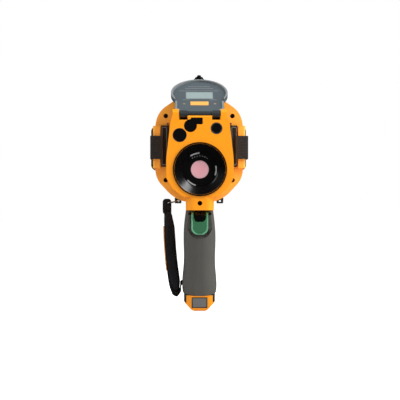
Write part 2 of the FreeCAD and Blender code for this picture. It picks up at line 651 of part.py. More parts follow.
def battery_well():
    outer = column(well_outline(), PARTING_H, WELL_TOP + WELL_WALL)
    inner = column(inset(well_outline(), WELL_WALL), PARTING_H - 1, WELL_TOP)
    return leaned(outer.cut(inner))


def battery_contacts():
    top = PARTING_H + BATTERY_LENGTH + 0.3
    blocks = [block(x - 2, x + 2, WELL_Y - 4, WELL_Y + 4, top, WELL_TOP) for x in (-7, 0, 7)]
    half = BATTERY_WIDTH / 2 - 1
    bar = block(-half, half, WELL_Y - 6, WELL_Y + 6, WELL_TOP - 2, WELL_TOP)
    return leaned(joined([bar] + blocks))


def trigger_profile():
    hub = 3.0
    return [(PIN_Y + hub, PIN_H + hub - 0.4, 2), (PIN_Y - 6, PIN_H + hub - 0.4, 5), (-25.5, 119, 8),
            (-23.5, 110, 20), (-21.5, TRIGGER_FOOT_H, 1.2), (-17.5, TRIGGER_FOOT_H, 1.2), (-19.5, 111, 12),
            (-20.0, 119, 3),
            (PIN_Y + hub, PIN_H - 5, 2)]


def round_foot(half, foot):
    """Front outline of a trigger: straight sides down to a round foot."""
    radius = half - 0.6
    return [(half, 145, 1), (half, foot, radius), (-half, foot, radius), (-half, 145, 1)]


def triggers():
    """Both triggers turn on one pin; the upper one sits in a notch of the lower one."""
    half = TRIGGER_WIDTH / 2
    profile = trigger_profile()
    lower = plate_x(profile, -half, half)
    mouth = round_foot(MOUTH_HALF, MOUTH_FOOT_H)
    notch = rod_x(MOUTH_R, PIN_Y, PIN_H, -MOUTH_HALF, MOUTH_HALF).common(plate_y(mouth, -40, 0))
    hole = rod_x(TRIGGER_PIN_R + SLIDE_FIT, PIN_Y, PIN_H, -15, 15)
    face = round_foot(half, TRIGGER_FOOT_H - 0.2)
    lower = lower.cut(notch).common(plate_y(face, -40, 0)).cut(hole)
    node("primary_trigger", leaned(lower))
    upper = plate_x(profile, 0.5 - MOUTH_HALF, MOUTH_HALF - 0.5)
    upper = upper.common(rod_x(MOUTH_R - 0.7, PIN_Y, PIN_H, -9, 9))
    upper_face = round_foot(MOUTH_HALF - 0.9, MOUTH_FOOT_H + MOUTH_SWING)
    upper = upper.common(plate_y(upper_face, -40, 0))
    node("secondary_trigger", leaned(upper.cut(hole)))
    node("trigger_pin", leaned(rod_x(TRIGGER_PIN_R - 0.02, PIN_Y, PIN_H, -13.8, 13.8)))
    coil = rod_x(2.6, PIN_Y, PIN_H, TRIGGER_WIDTH / 2 + 0.15, RECESS_HALF - 0.1)
    coil = coil.cut(rod_x(TRIGGER_PIN_R + 0.1, PIN_Y, PIN_H, 0, 12))
    node("trigger_springs", [leaned(shape) for shape in pair(coil)])
    board = block(-9, 9, RECESS_FLOOR - 1, RECESS_FLOOR, 104, 122)
    switches = [block(-3, 3, RECESS_FLOOR - 2.4, RECESS_FLOOR - 0.8, h - 3, h + 3) for h in (108, 117)]
    node("trigger_switches", leaned(joined([board] + switches)))


# ---------------------------------------------------------------- battery
BASE_R = 10.0
BASE_WALL = 2.5
CASE_FOOT_H = PARTING_H - 4.0
LATCH_H = (16.0, 24.7)
LATCH_Y = (GRIP_MID_Y - 21.8, GRIP_MID_Y + 2.0)      # the latches wrap the front corners
LATCH_INNER = 4.2
LATCH_TRAVEL = 1.5
LATCH_HOLE_X = BASE_WIDTH / 2 - LATCH_INNER - LATCH_TRAVEL - GAP
PANEL_HALF = 9.2
PANEL_H = (10.0, 23.3)
FOOT_HALF_WIDTH = 8.0


def battery_base():
    mid = GRIP_MID_Y
    outline = round_box(BASE_WIDTH, BASE_DEPTH, BASE_R, mid)
    outer = leaned(column(outline, -20, PARTING_H - SEAT))
    front = [(-22, 45, 0.4), (-22, 15.4, 8), (-17.0, 9.0, 12), (-FOOT_HALF_WIDTH, 0, 8),
             (FOOT_HALF_WIDTH, 0, 8), (17.0, 9.0, 12), (22, 15.4, 8), (22, 45, 0.4)]
    side = [(-40, 60, 0.4), (-40, 10, 1), (-21, 0, 6), (21, 0, 6), (32, 12, 8), (34, 60, 0.4)]
    outer = outer.common(plate_y(front, -60, 60)).common(plate_x(side, -40, 40))
    inner = leaned(column(inset(outline, BASE_WALL), -20, PARTING_H + 1))
    floor_front = inset(front, BASE_WALL)
    inner = inner.common(plate_y(floor_front, -60, 60)).common(plate_x(inset(side, BASE_WALL), -40, 40))
    front_y = mid - BASE_DEPTH / 2
    panel_hole = leaned(block(-PANEL_HALF - GAP, PANEL_HALF + GAP, front_y - 1, front_y + 4,
                              PANEL_H[0] - GAP, PANEL_H[1] + GAP))
    latch_hole = leaned(block(LATCH_HOLE_X, 22, LATCH_Y[0] - GAP, LATCH_Y[1] + GAP,
                              LATCH_H[0] - GAP, LATCH_H[1] + GAP))
    base = outer.cut(inner)
    return cut_all(base, [panel_hole] + pair(latch_hole))


def battery_case():
    mid = GRIP_MID_Y
    foot = column(round_box(BASE_WIDTH - 2 * BASE_WALL - 2 * SEAT, BASE_DEPTH - 2 * BASE_WALL - 2 * SEAT,
                            BASE_R - BASE_WALL, mid), CASE_FOOT_H, PARTING_H - SEAT)
    foot = foot.cut(block(-PANEL_HALF - 1, PANEL_HALF + 1, mid - 40, mid - BASE_DEPTH / 2 + 5, 0, 40))
    foot = cut_all(foot, pair(block(LATCH_HOLE_X - 1, 22, LATCH_Y[0] - 1, LATCH_Y[1] + 1, 0, 40)))
    tower = column(round_box(BATTERY_WIDTH, BATTERY_DEPTH, 3, WELL_Y), CASE_FOOT_H,
                   PARTING_H + BATTERY_LENGTH)
    hollow = column(round_box(BATTERY_WIDTH - 3, BATTERY_DEPTH - 3, 2, WELL_Y),
                    CASE_FOOT_H + 1.5, PARTING_H + BATTERY_LENGTH - 1.5)
    return leaned(joined([foot, tower]).cut(hollow))


def battery_inside():
    cells = []
    for side in (-1, 1):
        y = WELL_Y + side * (BATTERY_DEPTH - 3) / 4
        outline = round_box(BATTERY_WIDTH - 3.4, BATTERY_DEPTH / 2 - 2, 4, y)
        cells.append(column(outline, CASE_FOOT_H + 1.7, PARTING_H + BATTERY_LENGTH - 6))
    node("battery_cells", [leaned(cell) for cell in cells])
    x1 = BASE_WIDTH / 2
    mid = GRIP_MID_Y
    inner_x = x1 - LATCH_INNER
    latch = column(round_box(BASE_WIDTH, BASE_DEPTH, BASE_R, mid), LATCH_H[0], LATCH_H[1])
    latch = latch.common(block(inner_x, x1 + 1, LATCH_Y[0], LATCH_Y[1], LATCH_H[0], LATCH_H[1]))
    latch = latch.cut(block(x1 - 0.8, x1 + 1, mid - 14, mid, LATCH_H[0] + 2, LATCH_H[1] - 2))
    right = leaned(latch)
    node("latch_right", right)
    node("latch_left", mirror_x(right))
    h = CASE_FOOT_H - 2.6
    spring_x1 = inner_x - LATCH_TRAVEL - GAP
    spring = rod_x(2.2, mid, h, -spring_x1, spring_x1)
    node("latch_spring", leaned(spring.cut(rod_x(1.4, mid, h, -20, 20))))
    front_y = mid - BASE_DEPTH / 2
    panel = block(-PANEL_HALF, PANEL_HALF, front_y, front_y + 2.4, PANEL_H[0], PANEL_H[1])
    node("charge_button", leaned(panel))


# ---------------------------------------------------------------- side doors
def side_door():
    """Rubber door: strip in front of the ports, tab across the side block, rib behind the strip."""
    hinge_x, hinge_y = DOOR_HINGE
    strip = block(hinge_x + 0.4, BLOCK_INNER_X - 0.8, hinge_y + 0.5, hinge_y + 2.5, 175, 226)
    barrel = rod_z(1.5, hinge_x, hinge_y, 175, 226)
    bridge = block(BLOCK_INNER_X - 1.8, BLOCK_OUTER_X + 0.3, BLOCK_FRONT_Y - TAB_THICK, BLOCK_FRONT_Y - GAP,
                   TAB_Z[0], TAB_Z[1])
    riser = block(BLOCK_INNER_X - 1.8, BLOCK_INNER_X - 0.8, BLOCK_FRONT_Y - TAB_THICK, hinge_y + 2.5,
                  TAB_Z[0], TAB_Z[1])
    wrap_x = BLOCK_OUTER_X + GAP
    wrap = block(wrap_x, wrap_x + TAB_THICK, BLOCK_FRONT_Y - TAB_THICK, TAB_REAR_Y, TAB_Z[0], TAB_Z[1])
    rib = block(hinge_x + 4, hinge_x + 7.2, hinge_y + 2, SHELL_FRONT_Y - GAP, 184, 212)
    door = joined([strip, barrel, bridge, riser, wrap, rib])
    return door.cut(rod_z(0.8 + SLIDE_FIT, hinge_x, hinge_y, 170, 230))


def door_pins():
    """Each pin turns in a lug that stands on the flange, above and below the door."""
    hinge_x, hinge_y = DOOR_HINGE
    pin = rod_z(0.8, hinge_x, hinge_y, 172.6, 228.4)
    lugs = []
    for z0, z1 in ((172, 174.7), (226.3, 229)):
        lugs.append(block(hinge_x - 1.4, hinge_x + 1.4, hinge_y - 1.4, SHELL_FRONT_Y, z0, z1))
    return joined([pin] + lugs)


# ---------------------------------------------------------------- hand strap
LUG_Y = 30.0
LUG_X = 26.0
LUG_Z = (129.8, 137.0)
LUG_HALF = 4.4
LUG_SLOT = (1.3, 131.7, 133.8)      # half width, low and high edge
LINK_R = 0.9
LINK_FAR = (-38.6, 130.2)           # where the link holds the webbing
ANCHOR = (-21.5, 0.0, 34.0)         # foot of the strap on the grip's side
STRAP_LEAN = -17.3                  # the strap's top leans to the rear, degrees
PAD_INNER = [(-32.4, 120, 4), (-31.4, 106, 60), (-30.1, 87, 60), (-29.2, 73.5, 60), (-28.0, 61, 60),
             (-26.3, 48, 30), (-24.8, 38, 20), (-24.0, 31, 8), (-24.0, 25, 2)]
PAD_OUTER = [(-27.6, 18.8, 2.2), (-31.4, 21, 4), (-34.8, 30, 20), (-36.3, 38, 30), (-37.6, 48, 40),
             (-39.0, 61, 60), (-40.0, 73.5, 60), (-40.9, 87, 60), (-41.4, 106, 60), (-41.4, 120, 4)]
WEB_THICK = 1.5
WEB_WIDTH = 19.0
FOLD_WIDTH = 11.4            # webbing folded over the link
PATCH_WIDTH = 16.0


def strap_lug():
    """Loop under the rear shell; the strap's link passes through its slot."""
    half, low, high = LUG_SLOT
    outline = [(LUG_X + LUG_HALF, LUG_Z[1], 1), (LUG_X + LUG_HALF - 0.4, LUG_Z[0], 1),
               (LUG_X - LUG_HALF + 0.4, LUG_Z[0], 1), (LUG_X - LUG_HALF, LUG_Z[1], 1)]
    body = plate_y(outline, LUG_Y - 2.5, LUG_Y + 2.5)
    body = body.cut(plate_y(SHELL, LUG_Y - 5, LUG_Y + 5))
    return body.cut(block(LUG_X - half, LUG_X + half, LUG_Y - 4, LUG_Y + 4, low, high))


def strap_anchor_hole():
    """Slot in the grip's side that takes the end of the webbing."""
    x, y, z = ANCHOR
    half = WEB_WIDTH / 2 + GAP
    return strap_place(block(x - 3, x + 4, y - half, y + half, z - WEB_THICK - GAP, z + GAP))


def strap_link(radius):
    """Wire loop from the lug's slot to the fold of the webbing."""
    half = 7.0
    near = Vec(-LUG_X, LUG_Y, (LUG_SLOT[1] + LUG_SLOT[2]) / 2)
    far = Vec(LINK_FAR[0], LUG_Y, LINK_FAR[1])
    reach = (far - near).Length
    along = (far - near).normalize()
    corners = [(0, -half, 2), (0, half, 2), (reach, half, 2), (reach, -half, 2)]
    path = rounded_wire(corners, lambda a, b: near + along * a + Vec(0, b, 0))
    start = near + along * 2 + Vec(0, -half, 0)
    section = Part.Wire(Part.makeCircle(radius, start, along * -1))
    return path.makePipeShell([section], True, False)


def strap_place(shape):
    """Lean a strap shape about its foot."""
    turned = shape.copy()
    turned.rotate(Vec(*ANCHOR), Vec(1, 0, 0), STRAP_LEAN)
    return turned


def band(path, thickness, y0, y1):
    """Flat band that follows a front-view path of (x, z, radius) points; it thickens to the left."""
    outer = []
    for i, (x, z, radius) in enumerate(path):
        before = path[max(i - 1, 0)]
        after = path[min(i + 1, len(path) - 1)]
        run = Vec(after[0] - before[0], after[1] - before[1], 0).normalize()
        outer.append((x + run.y * thickness, z - run.x * thickness, radius))
    return plate_y(path + list(reversed(outer)), y0, y1)


def hand_strap():
    node("strap_pad", strap_place(plate_y(PAD_INNER + PAD_OUTER, -STRAP_WIDTH / 2, STRAP_WIDTH / 2)))
    inside = [(-41.55, 126, 0.4), (-41.55, 106, 60), (-41.1, 87, 60), (-40.2, 73.5, 60), (-39.2, 61, 60),
              (-37.8, 48, 40), (-36.5, 38, 30), (-35.0, 30, 20), (-31.6, 20.6, 3.6), (-27.5, 18.3, 2.4),
                (-23.6, 24.5, 4), (-23.3, ANCHOR[2], 2.2), (ANCHOR[0] + 3.5, ANCHOR[2], 0.4)]
    half = WEB_WIDTH / 2
    webbing = band(inside, WEB_THICK, -half, half)
    fold = plate_y([(-34.4, 138.6, 4), (-34.4, 121.6, 2), (-45.2, 121.6, 4), (-45.2, 138.6, 4)],
                   -FOLD_WIDTH / 2, FOLD_WIDTH / 2)
    grown = strap_link(LINK_R + SEAT)
    node("strap_webbing", strap_place(webbing.fuse(fold).removeSplitter()).cut(grown))
    patch = [(-43.15, 103, 0.4), (-42.65, 87, 60), (-41.75, 73.5, 60), (-40.75, 61, 60), (-39.6, 50, 0.4)]
    node("strap_patch", strap_place(band(patch, 1.0, -PATCH_WIDTH / 2, PATCH_WIDTH / 2)))
    node("strap_link", strap_link(LINK_R))


def main():
    node("front_housing", front_housing())
    sensor_windows()
    optics()
    node("lens_bezel", lens_bezel())
    node("lens_barrel", lens_barrel())
    node("lens_cell", lens_cell())
    lens_stack()
    focus_drive()
    detector()
    node("rear_shell", rear_shell())
    shell_screws()
    node("chassis_frame", chassis())
    boards()
    node("housing_gasket", plate_y(inset(SHELL, 0.6), SHELL_REAR_Y, SHELL_REAR_Y + 1)
         .cut(plate_y(inset(SHELL, 2.3), SHELL_REAR_Y - 1, SHELL_REAR_Y + 2)))
    node("rear_cover", rear_cover())
    display()
    keys()
    node("hinge_pin", rod_x(HINGE_PIN_R - 0.02, HINGE_Y, HINGE_Z, -30.8, 30.8))
    node("lens_cover", lens_cover())
    node("cover_catch", cover_catch())
    node("grip_sleeve", grip_sleeve())
    node("battery_well", battery_well())
    node("battery_contacts", battery_contacts())
    triggers()
    node("battery_base", battery_base())
    node("battery_case", battery_case())
    battery_inside()
    right_door = side_door()
    node("side_door_right", right_door)
    node("side_door_left", mirror_x(right_door))
    node("door_pins", pair(door_pins()))
    node("strap_lugs", pair(strap_lug()))
    hand_strap()


main()
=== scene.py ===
"""Looks of a pistol-grip thermal imaging camera, laid out as an add-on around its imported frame."""
import json
import math

import bmesh
import bpy
from bpy.props import FloatProperty, FloatVectorProperty, IntProperty, PointerProperty
from mathutils import Matrix, Vector


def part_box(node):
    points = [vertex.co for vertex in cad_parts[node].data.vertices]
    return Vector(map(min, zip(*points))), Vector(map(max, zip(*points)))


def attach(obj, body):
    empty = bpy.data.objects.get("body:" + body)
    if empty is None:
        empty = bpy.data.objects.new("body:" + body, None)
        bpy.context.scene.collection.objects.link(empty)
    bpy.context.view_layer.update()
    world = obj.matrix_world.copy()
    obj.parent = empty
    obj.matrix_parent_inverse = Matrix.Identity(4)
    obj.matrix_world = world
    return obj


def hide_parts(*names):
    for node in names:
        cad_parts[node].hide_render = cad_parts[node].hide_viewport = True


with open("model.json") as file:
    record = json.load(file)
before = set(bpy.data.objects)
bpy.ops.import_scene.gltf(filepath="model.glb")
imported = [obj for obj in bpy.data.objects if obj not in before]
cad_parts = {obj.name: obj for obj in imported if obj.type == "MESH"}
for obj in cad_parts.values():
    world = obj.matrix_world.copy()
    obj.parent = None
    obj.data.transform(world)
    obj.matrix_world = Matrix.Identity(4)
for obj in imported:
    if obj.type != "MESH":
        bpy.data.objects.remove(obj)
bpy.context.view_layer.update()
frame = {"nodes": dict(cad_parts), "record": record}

bl_info = {
    "name": "Thermal Camera Looks",
    "version": (1, 0, 0),
    "blender": (4, 5, 0),
    "location": "View3D > Sidebar > Thermal Camera",
    "description": "Builds the finished surfaces of a handheld thermal imaging camera",
    "category": "Object",
}

MM = 0.001                  # the values below are in millimetres unless a comment says otherwise
SMOOTH_ANGLE = math.radians(32)
BEVEL_ANGLE = math.radians(35)
OUTLINE_ANGLE = 1.2         # radians between the faces of a moulded outline's sharp edge
ON_PLANE = 0.2              # how far from a plane a point may lie and still count as on it
LENS_Z = 170.0              # optical axis
NOSE_Y = -67.0              # front face of the front housing
BACK_Y = 93.0               # back face of the rear cover
FLANGE_Y = 18.0             # front of the rear shell
COVER_LEVEL = -8.0          # inner face of the lens cover below its hinge line


# ------------------------------------------------------------------ settings
def srgb(code):
    """Linear colour of a six-digit screen colour."""
    values = [int(code[i:i + 2], 16) / 255 for i in (0, 2, 4)]
    linear = [v / 12.92 if v <= 0.04045 else ((v + 0.055) / 1.055) ** 2.4 for v in values]
    return (*linear, 1.0)


def colour_setting(name, text, code):
    """Colour setting whose default is a six-digit screen colour."""
    return FloatVectorProperty(name=name, description=text, subtype="COLOR", size=4, min=0, max=1,
                               default=srgb(code))


def length_setting(name, text, default, low, high):
    """Length setting in metres."""
    return FloatProperty(name=name, description=text, default=default, min=low, max=high, unit="LENGTH")


def power_setting(name, text, default, high):
    """Light power setting in watts."""
    return FloatProperty(name=name, description=text, default=default, min=0.0, max=high, unit="POWER")


class ShellSettings(bpy.types.PropertyGroup):
    colour: colour_setting("Orange", "Colour of the moulded shells", "FF9A00")
    # a paler copy of the shell orange: partly the rear shell's own tone, partly painted light
    rear_tone_and_light_colour: colour_setting("Rear orange", "Colour of the wide rear shell", "FFAF3E")
    edge: length_setting("Edge radius", "Rounding of the shells' moulded edges", 0.0007, 0.0001, 0.003)
    flange_edge: length_setting("Flange radius", "Rounding of the rear shell's front rim",
                                0.0062, 0.001, 0.009)
    nose_edge: length_setting("Nose radius", "Rounding of the front housing's outline",
                              0.0024, 0.0005, 0.004)


class LensSettings(bpy.types.PropertyGroup):
    glass: colour_setting("Coating", "Colour of the lens coating", "FFA3B0")
    grooves: IntProperty(name="Grooves", description="Fine grooves in the cone round the lens",
                         default=3, min=0, max=6)
    ticks: IntProperty(name="Ticks", description="Plain tick marks on the lens cell", default=7,
                       min=0, max=40)


class CoverSettings(bpy.types.PropertyGroup):
    colour: colour_setting("Cover", "Colour of the hinged lens cover", "4E585D")
    label: colour_setting("Label", "Colour of the blank label plate", "8E9E9D")


class GripSettings(bpy.types.PropertyGroup):
    colour: colour_setting("Grip", "Colour of the soft grip sleeve", "55544F")
    trigger: colour_setting("Trigger", "Colour of the lower trigger", "2F7A4F")
    # the rim's lighter green is a painted highlight along the trigger's edges
    trigger_rim_highlight: length_setting("Trigger rim", "Width of the trigger's polished rim", 0.0018, 0.0005, 0.003)


class StrapSettings(bpy.types.PropertyGroup):
    stitch: length_setting("Stitch pitch", "Distance from one stitch to the next", 0.0030, 0.001, 0.006)
    fill: FloatProperty(name="Pad pressure", description="Pressure that plumps the pad up",
                        default=4.0, min=0.0, max=10.0)


class StageSettings(bpy.types.PropertyGroup):
    side_power: power_setting("Side light", "Power that both side panels take a share of", 15.0, 200.0)
    top_power: power_setting("Top light", "Power of the panel above", 11.0, 200.0)
    key_power: power_setting("Key light", "Power of the box at the upper right front", 10.0, 100.0)
    fill: FloatProperty(name="Sky", description="Strength of the even light from all round",
                        default=0.30, min=0.0, max=2.0)
    mirrored: FloatProperty(name="Mirrored sky", description="Strength of the sky in glossy surfaces",
                            default=0.06, min=0.0, max=2.0)


# ------------------------------------------------------------------ places
def spot(x, y, z):
    """Point given in millimetres, in Blender's metres."""
    return Vector((x, y, z)) * MM


def joint_of(name):
    """The record's joint of this name."""
    for joint in frame["record"]["behaviour"]["joints"]:
        if joint["name"] == name:
            return joint
    raise KeyError(name)


SLIDE = Vector(joint_of("battery_slide")["axis"])
UPRIGHT = Matrix.Rotation(math.atan2(SLIDE.y, -SLIDE.z), 4, "X").inverted()    # the grip without its lean
HINGE = joint_of("cover_hinge")
COVER_TURN = math.radians(270 - HINGE["range_deg"][1])                         # the open cover's slope
OPEN = Matrix.Translation(HINGE["pos_m"]) @ Matrix.Rotation(COVER_TURN, 4, "X")
STRAP_FOOT = spot(-21.5, 0, 34)
STRAP_LEAN = math.radians(-17.3)
STRAP = (Matrix.Translation(STRAP_FOOT) @ Matrix.Rotation(STRAP_LEAN, 4, "X")
         @ Matrix.Translation(-STRAP_FOOT))


def front_place(a, b, level):
    """Outline seen from the front, levels along Y."""
    return spot(a, level, b)


def side_place(a, b, level):
    """Outline seen from the side as depth and height, levels along X."""
    return spot(level, a, b)


def cover_place(a, b, level):
    """Outline on the open lens cover: across, away from the hinge, and up from the hinge line."""
    return OPEN @ spot(a, b, level)


def strap_place(a, b, level):
    """Outline seen from the front in the leaned strap's frame, levels along Y."""
    return STRAP @ spot(a, level, b)


# ------------------------------------------------------------------ mesh helpers
def rounded(corners, steps=6):
    """Outline with rounded corners; each corner is (a, b, radius)."""
    points = []
    count = len(corners)
    for i, (a, b, radius) in enumerate(corners):
        here = Vector((a, b))
        to_last = (Vector(corners[i - 1][:2]) - here).normalized()
        to_next = (Vector(corners[(i + 1) % count][:2]) - here).normalized()
        half = to_last.angle(to_next) / 2
        if radius <= 0 or abs(half - math.pi / 2) < 1e-4:
            points.append((a, b))
            continue
        reach = radius / math.tan(half)
        hub = here + (to_last + to_next).normalized() * (radius / math.sin(half))
        start = here + to_last * reach - hub
        sweep = start.angle_signed(here + to_next * reach - hub)
        for step in range(steps + 1):
            points.append(tuple(hub + Matrix.Rotation(-sweep * step / steps, 2) @ start))
    return points


def box_outline(width, height, radius, a=0.0, b=0.0):
    """Rectangle with rounded corners round the point (a, b)."""
    corners = ((1, 1), (1, -1), (-1, -1), (-1, 1))
    return rounded([(a + right * width / 2, b + up * height / 2, radius) for right, up in corners])


def disc_outline(radius, a, b, steps=40):
    """Circle round the point (a, b)."""
    return [(a + radius * math.cos(2 * math.pi * i / steps), b + radius * math.sin(2 * math.pi * i / steps))
            for i in range(steps)]


def add_prism(bm, outline, low, high, place):
    """Add a straight-sided piece between two levels of an outline."""
    face = bm.faces.new([bm.verts.new(place(a, b, low)) for a, b in outline])
    made = bmesh.ops.extrude_face_region(bm, geom=[face])
    risen = [item for item in made["geom"] if isinstance(item, bmesh.types.BMVert)]
    bmesh.ops.translate(bm, vec=place(0, 0, high) - place(0, 0, low), verts=risen)


def prisms(outlines, low, high, place):
    """Straight-sided pieces between the same two levels, as one mesh."""
    bm = bmesh.new()
    for outline in outlines:
        add_prism(bm, outline, low, high, place)
    bmesh.ops.recalc_face_normals(bm, faces=bm.faces)
    return bm


def prism(outline, low, high, place):
    """Straight-sided piece between two levels."""
    return prisms([outline], low, high, place)


def turned(profile, x, z, steps=96):
    """Ring turned about a line along Y; the profile is a closed loop of (radius, y)."""
    bm = bmesh.new()
    verts = [bm.verts.new(spot(x + radius, y, z)) for radius, y in profile]
    edges = [bm.edges.new((verts[i - 1], verts[i])) for i in range(len(verts))]
    bmesh.ops.spin(bm, geom=verts + edges, cent=spot(x, 0, z), axis=(0, 1, 0), angle=2 * math.pi,
                   steps=steps, use_merge=True)
    bmesh.ops.remove_doubles(bm, verts=bm.verts, dist=0.002 * MM)
    bmesh.ops.dissolve_degenerate(bm, edges=bm.edges, dist=0.001 * MM)
    bmesh.ops.recalc_face_normals(bm, faces=bm.faces)
    return bm


def start_from(node):
    """Copy of a CAD node's mesh with its loose triangles merged into clean faces."""
    bm = bmesh.new()
    bm.from_mesh(frame["nodes"][node].data)
    bmesh.ops.remove_doubles(bm, verts=bm.verts, dist=0.004 * MM)
    bmesh.ops.dissolve_limit(bm, angle_limit=math.radians(0.8), verts=bm.verts, edges=bm.edges)
    return bm


def outline_edge(edge, y):
    """Whether an edge is a sharp one that lies on the plane at this depth."""
    flat = all(abs(vert.co.y - y * MM) < ON_PLANE * MM for vert in edge.verts)
    return flat and edge.calc_face_angle(0) > OUTLINE_ANGLE


def round_outline(bm, chosen, radius):
    """Round the edges that chosen(edge) picks with a wide arc; the radius is in metres."""
    edges = [edge for edge in bm.edges if chosen(edge)]
    if not edges:
        raise RuntimeError("no edge was picked by " + chosen.__name__)
    bmesh.ops.bevel(bm, geom=edges, offset=radius, offset_type="OFFSET", affect="EDGES", segments=6,
                    profile=0.5, clamp_overlap=True, material=-1)


def front_faces(bm, least):
    """Faces whose normals point out of the grip's front by at least this share."""
    faces = [face for face in bm.faces if (UPRIGHT.to_3x3() @ face.normal).y < -least]
    if not faces:
        raise RuntimeError("no front faces were found")
    return faces


def inset_faces(bm, faces, width, rise):
    """Inset a region by a width in metres, and give back the faces of its border."""
    made = bmesh.ops.inset_region(bm, faces=faces, thickness=width, depth=rise, use_even_offset=True,
                                  use_boundary=True)
    return made["faces"]


def finish(name):
    """The finished material of a slot."""
    return bpy.data.materials[name + "_look"]


def to_object(bm, name, *materials):
    """New object from a bmesh, smooth with sharp edges kept where faces meet at an angle."""
    mesh = bpy.data.meshes.new(name)
    for face in bm.faces:
        face.smooth = True
    bm.to_mesh(mesh)
    bm.free()
    mesh.set_sharp_from_angle(angle=SMOOTH_ANGLE)
    for material in materials:
        mesh.materials.append(finish(material))
    obj = bpy.data.objects.new(name, mesh)
    bpy.context.scene.collection.objects.link(obj)
    return obj


def soften(obj, width, segments=3):
    """Rounded edges of a moulded piece, from live modifiers; the width is in millimetres."""
    bevel = obj.modifiers.new("edges", "BEVEL")
    bevel.width = width * MM
    bevel.segments = segments
    bevel.limit_method = "ANGLE"
    bevel.angle_limit = BEVEL_ANGLE
    bevel.miter_outer = "MITER_ARC"
    bevel.use_clamp_overlap = True
    weighted = obj.modifiers.new("normals", "WEIGHTED_NORMAL")
    weighted.keep_sharp = True
    return obj


def baked_mesh(obj):
    """New mesh of an object as its modifiers leave it."""
    return bpy.data.meshes.new_from_object(obj.evaluated_get(bpy.context.evaluated_depsgraph_get()))


def carve(obj, cutter):
    """Cut a bmesh's shape out of an object that has no live modifiers yet."""
    tool = to_object(cutter, "cutter")
    cut = obj.modifiers.new("cut", "BOOLEAN")
    cut.object = tool
    cut.operation = "DIFFERENCE"
    cut.solver = "EXACT"
    bpy.context.view_layer.update()
    result = baked_mesh(obj)
    obj.modifiers.clear()
    old = obj.data
    obj.data = result
    result.name = obj.name
    bpy.data.meshes.remove(old)
    tool_mesh = tool.data
    bpy.data.objects.remove(tool)
    bpy.data.meshes.remove(tool_mesh)
    return obj


def body_of(node):
    """The body that a CAD node belongs to."""
    for body, nodes in frame["record"]["behaviour"]["bodies"].items():
        if node in nodes:
            return body
    raise KeyError(node)


def slot_of(node):
    """The material slot of a CAD node."""
    for row in frame["record"]["subparts"]:
        if row["node"] == node:
            return row["material_slot"]
    raise KeyError(node)


def settle(obj, like, *replaced):
    """Let a finished piece ride with a CAD node, in that node's slot, in place of the replaced nodes."""
    if len(obj.data.materials) == 0:
        obj.data.materials.append(finish(slot_of(like)))
    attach(obj, body_of(like))
    if replaced:
        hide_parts(*replaced)
    return obj


def dress(node, name, width, segments=3, *materials):
    """Finished piece straight from a CAD node, with its edges rounded."""
    obj = soften(to_object(start_from(node), name, *materials), width, segments)
    return settle(obj, node, node)


def paint(obj, material, choose):
    """Put a second material on the faces that choose(face) picks."""
    mesh = obj.data
    mesh.materials.append(finish(material))
    index = len(mesh.materials) - 1
    for polygon in mesh.polygons:
        if choose(polygon):
            polygon.material_index = index


# ------------------------------------------------------------------ materials
COLOUR_A, COLOUR_B, COLOUR_RESULT = 6, 7, 2     # a Mix node's colour sockets, by their places
THREAD_TURN = math.radians(38)
COATING_CENTRE = (0.0, -46.0, LENS_Z)           # the coating turns paler with distance from here


def coordinates(tree):
    """The piece's own coordinates."""
    return tree.nodes.new("ShaderNodeTexCoord").outputs["Object"]


def mapped(tree, setting, value):
    """The piece's own coordinates with one setting of a Mapping node: its scale or its rotation."""
    mapping = tree.nodes.new("ShaderNodeMapping")
    mapping.inputs[setting].default_value = value
    tree.links.new(coordinates(tree), mapping.inputs["Vector"])
    return mapping.outputs["Vector"]


def noise(tree, scale, place=None):
    """Noise over the piece's own coordinates, or over the given ones."""
    texture = tree.nodes.new("ShaderNodeTexNoise")
    texture.inputs["Scale"].default_value = scale
    texture.inputs["Detail"].default_value = 2.0
    tree.links.new(place or coordinates(tree), texture.inputs["Vector"])
    return texture.outputs["Fac"]


def cells(tree, scale):
    """Voronoi cells over the piece's own coordinates."""
    texture = tree.nodes.new("ShaderNodeTexVoronoi")
    texture.inputs["Scale"].default_value = scale
    tree.links.new(coordinates(tree), texture.inputs["Vector"])
    return texture


def blend(tree, factor, low, high):
    """Colour between two, by a factor output."""
    mix = tree.nodes.new("ShaderNodeMix")
    mix.data_type = "RGBA"
    tree.links.new(factor, mix.inputs["Factor"])
    mix.inputs[COLOUR_A].default_value = low
    mix.inputs[COLOUR_B].default_value = high
    return mix.outputs[COLOUR_RESULT]


def mix_shaders(tree, factor, first, second):
    """Shader between two, by a factor output."""
    mix = tree.nodes.new("ShaderNodeMixShader")
    for socket, source in zip(mix.inputs, (factor, first, second)):
        tree.links.new(source, socket)
    return mix.outputs["Shader"]


def shade(colour, gain):
    """Colour made darker or lighter, no lighter than full."""
    return (*[min(1.0, channel * gain) for channel in colour[:3]], 1.0)


def add_bump(tree, shader, height, strength, distance):
    """Relief from a height output; the distance is in millimetres."""
    bump = tree.nodes.new("ShaderNodeBump")
    bump.inputs["Strength"].default_value = strength
    bump.inputs["Distance"].default_value = distance * MM
    tree.links.new(height, bump.inputs["Height"])
    tree.links.new(bump.outputs["Normal"], shader.inputs["Normal"])


def tree_and_shader(material):
    """A material's node tree and its main shader."""
    return material.node_tree, material.node_tree.nodes["Principled BSDF"]


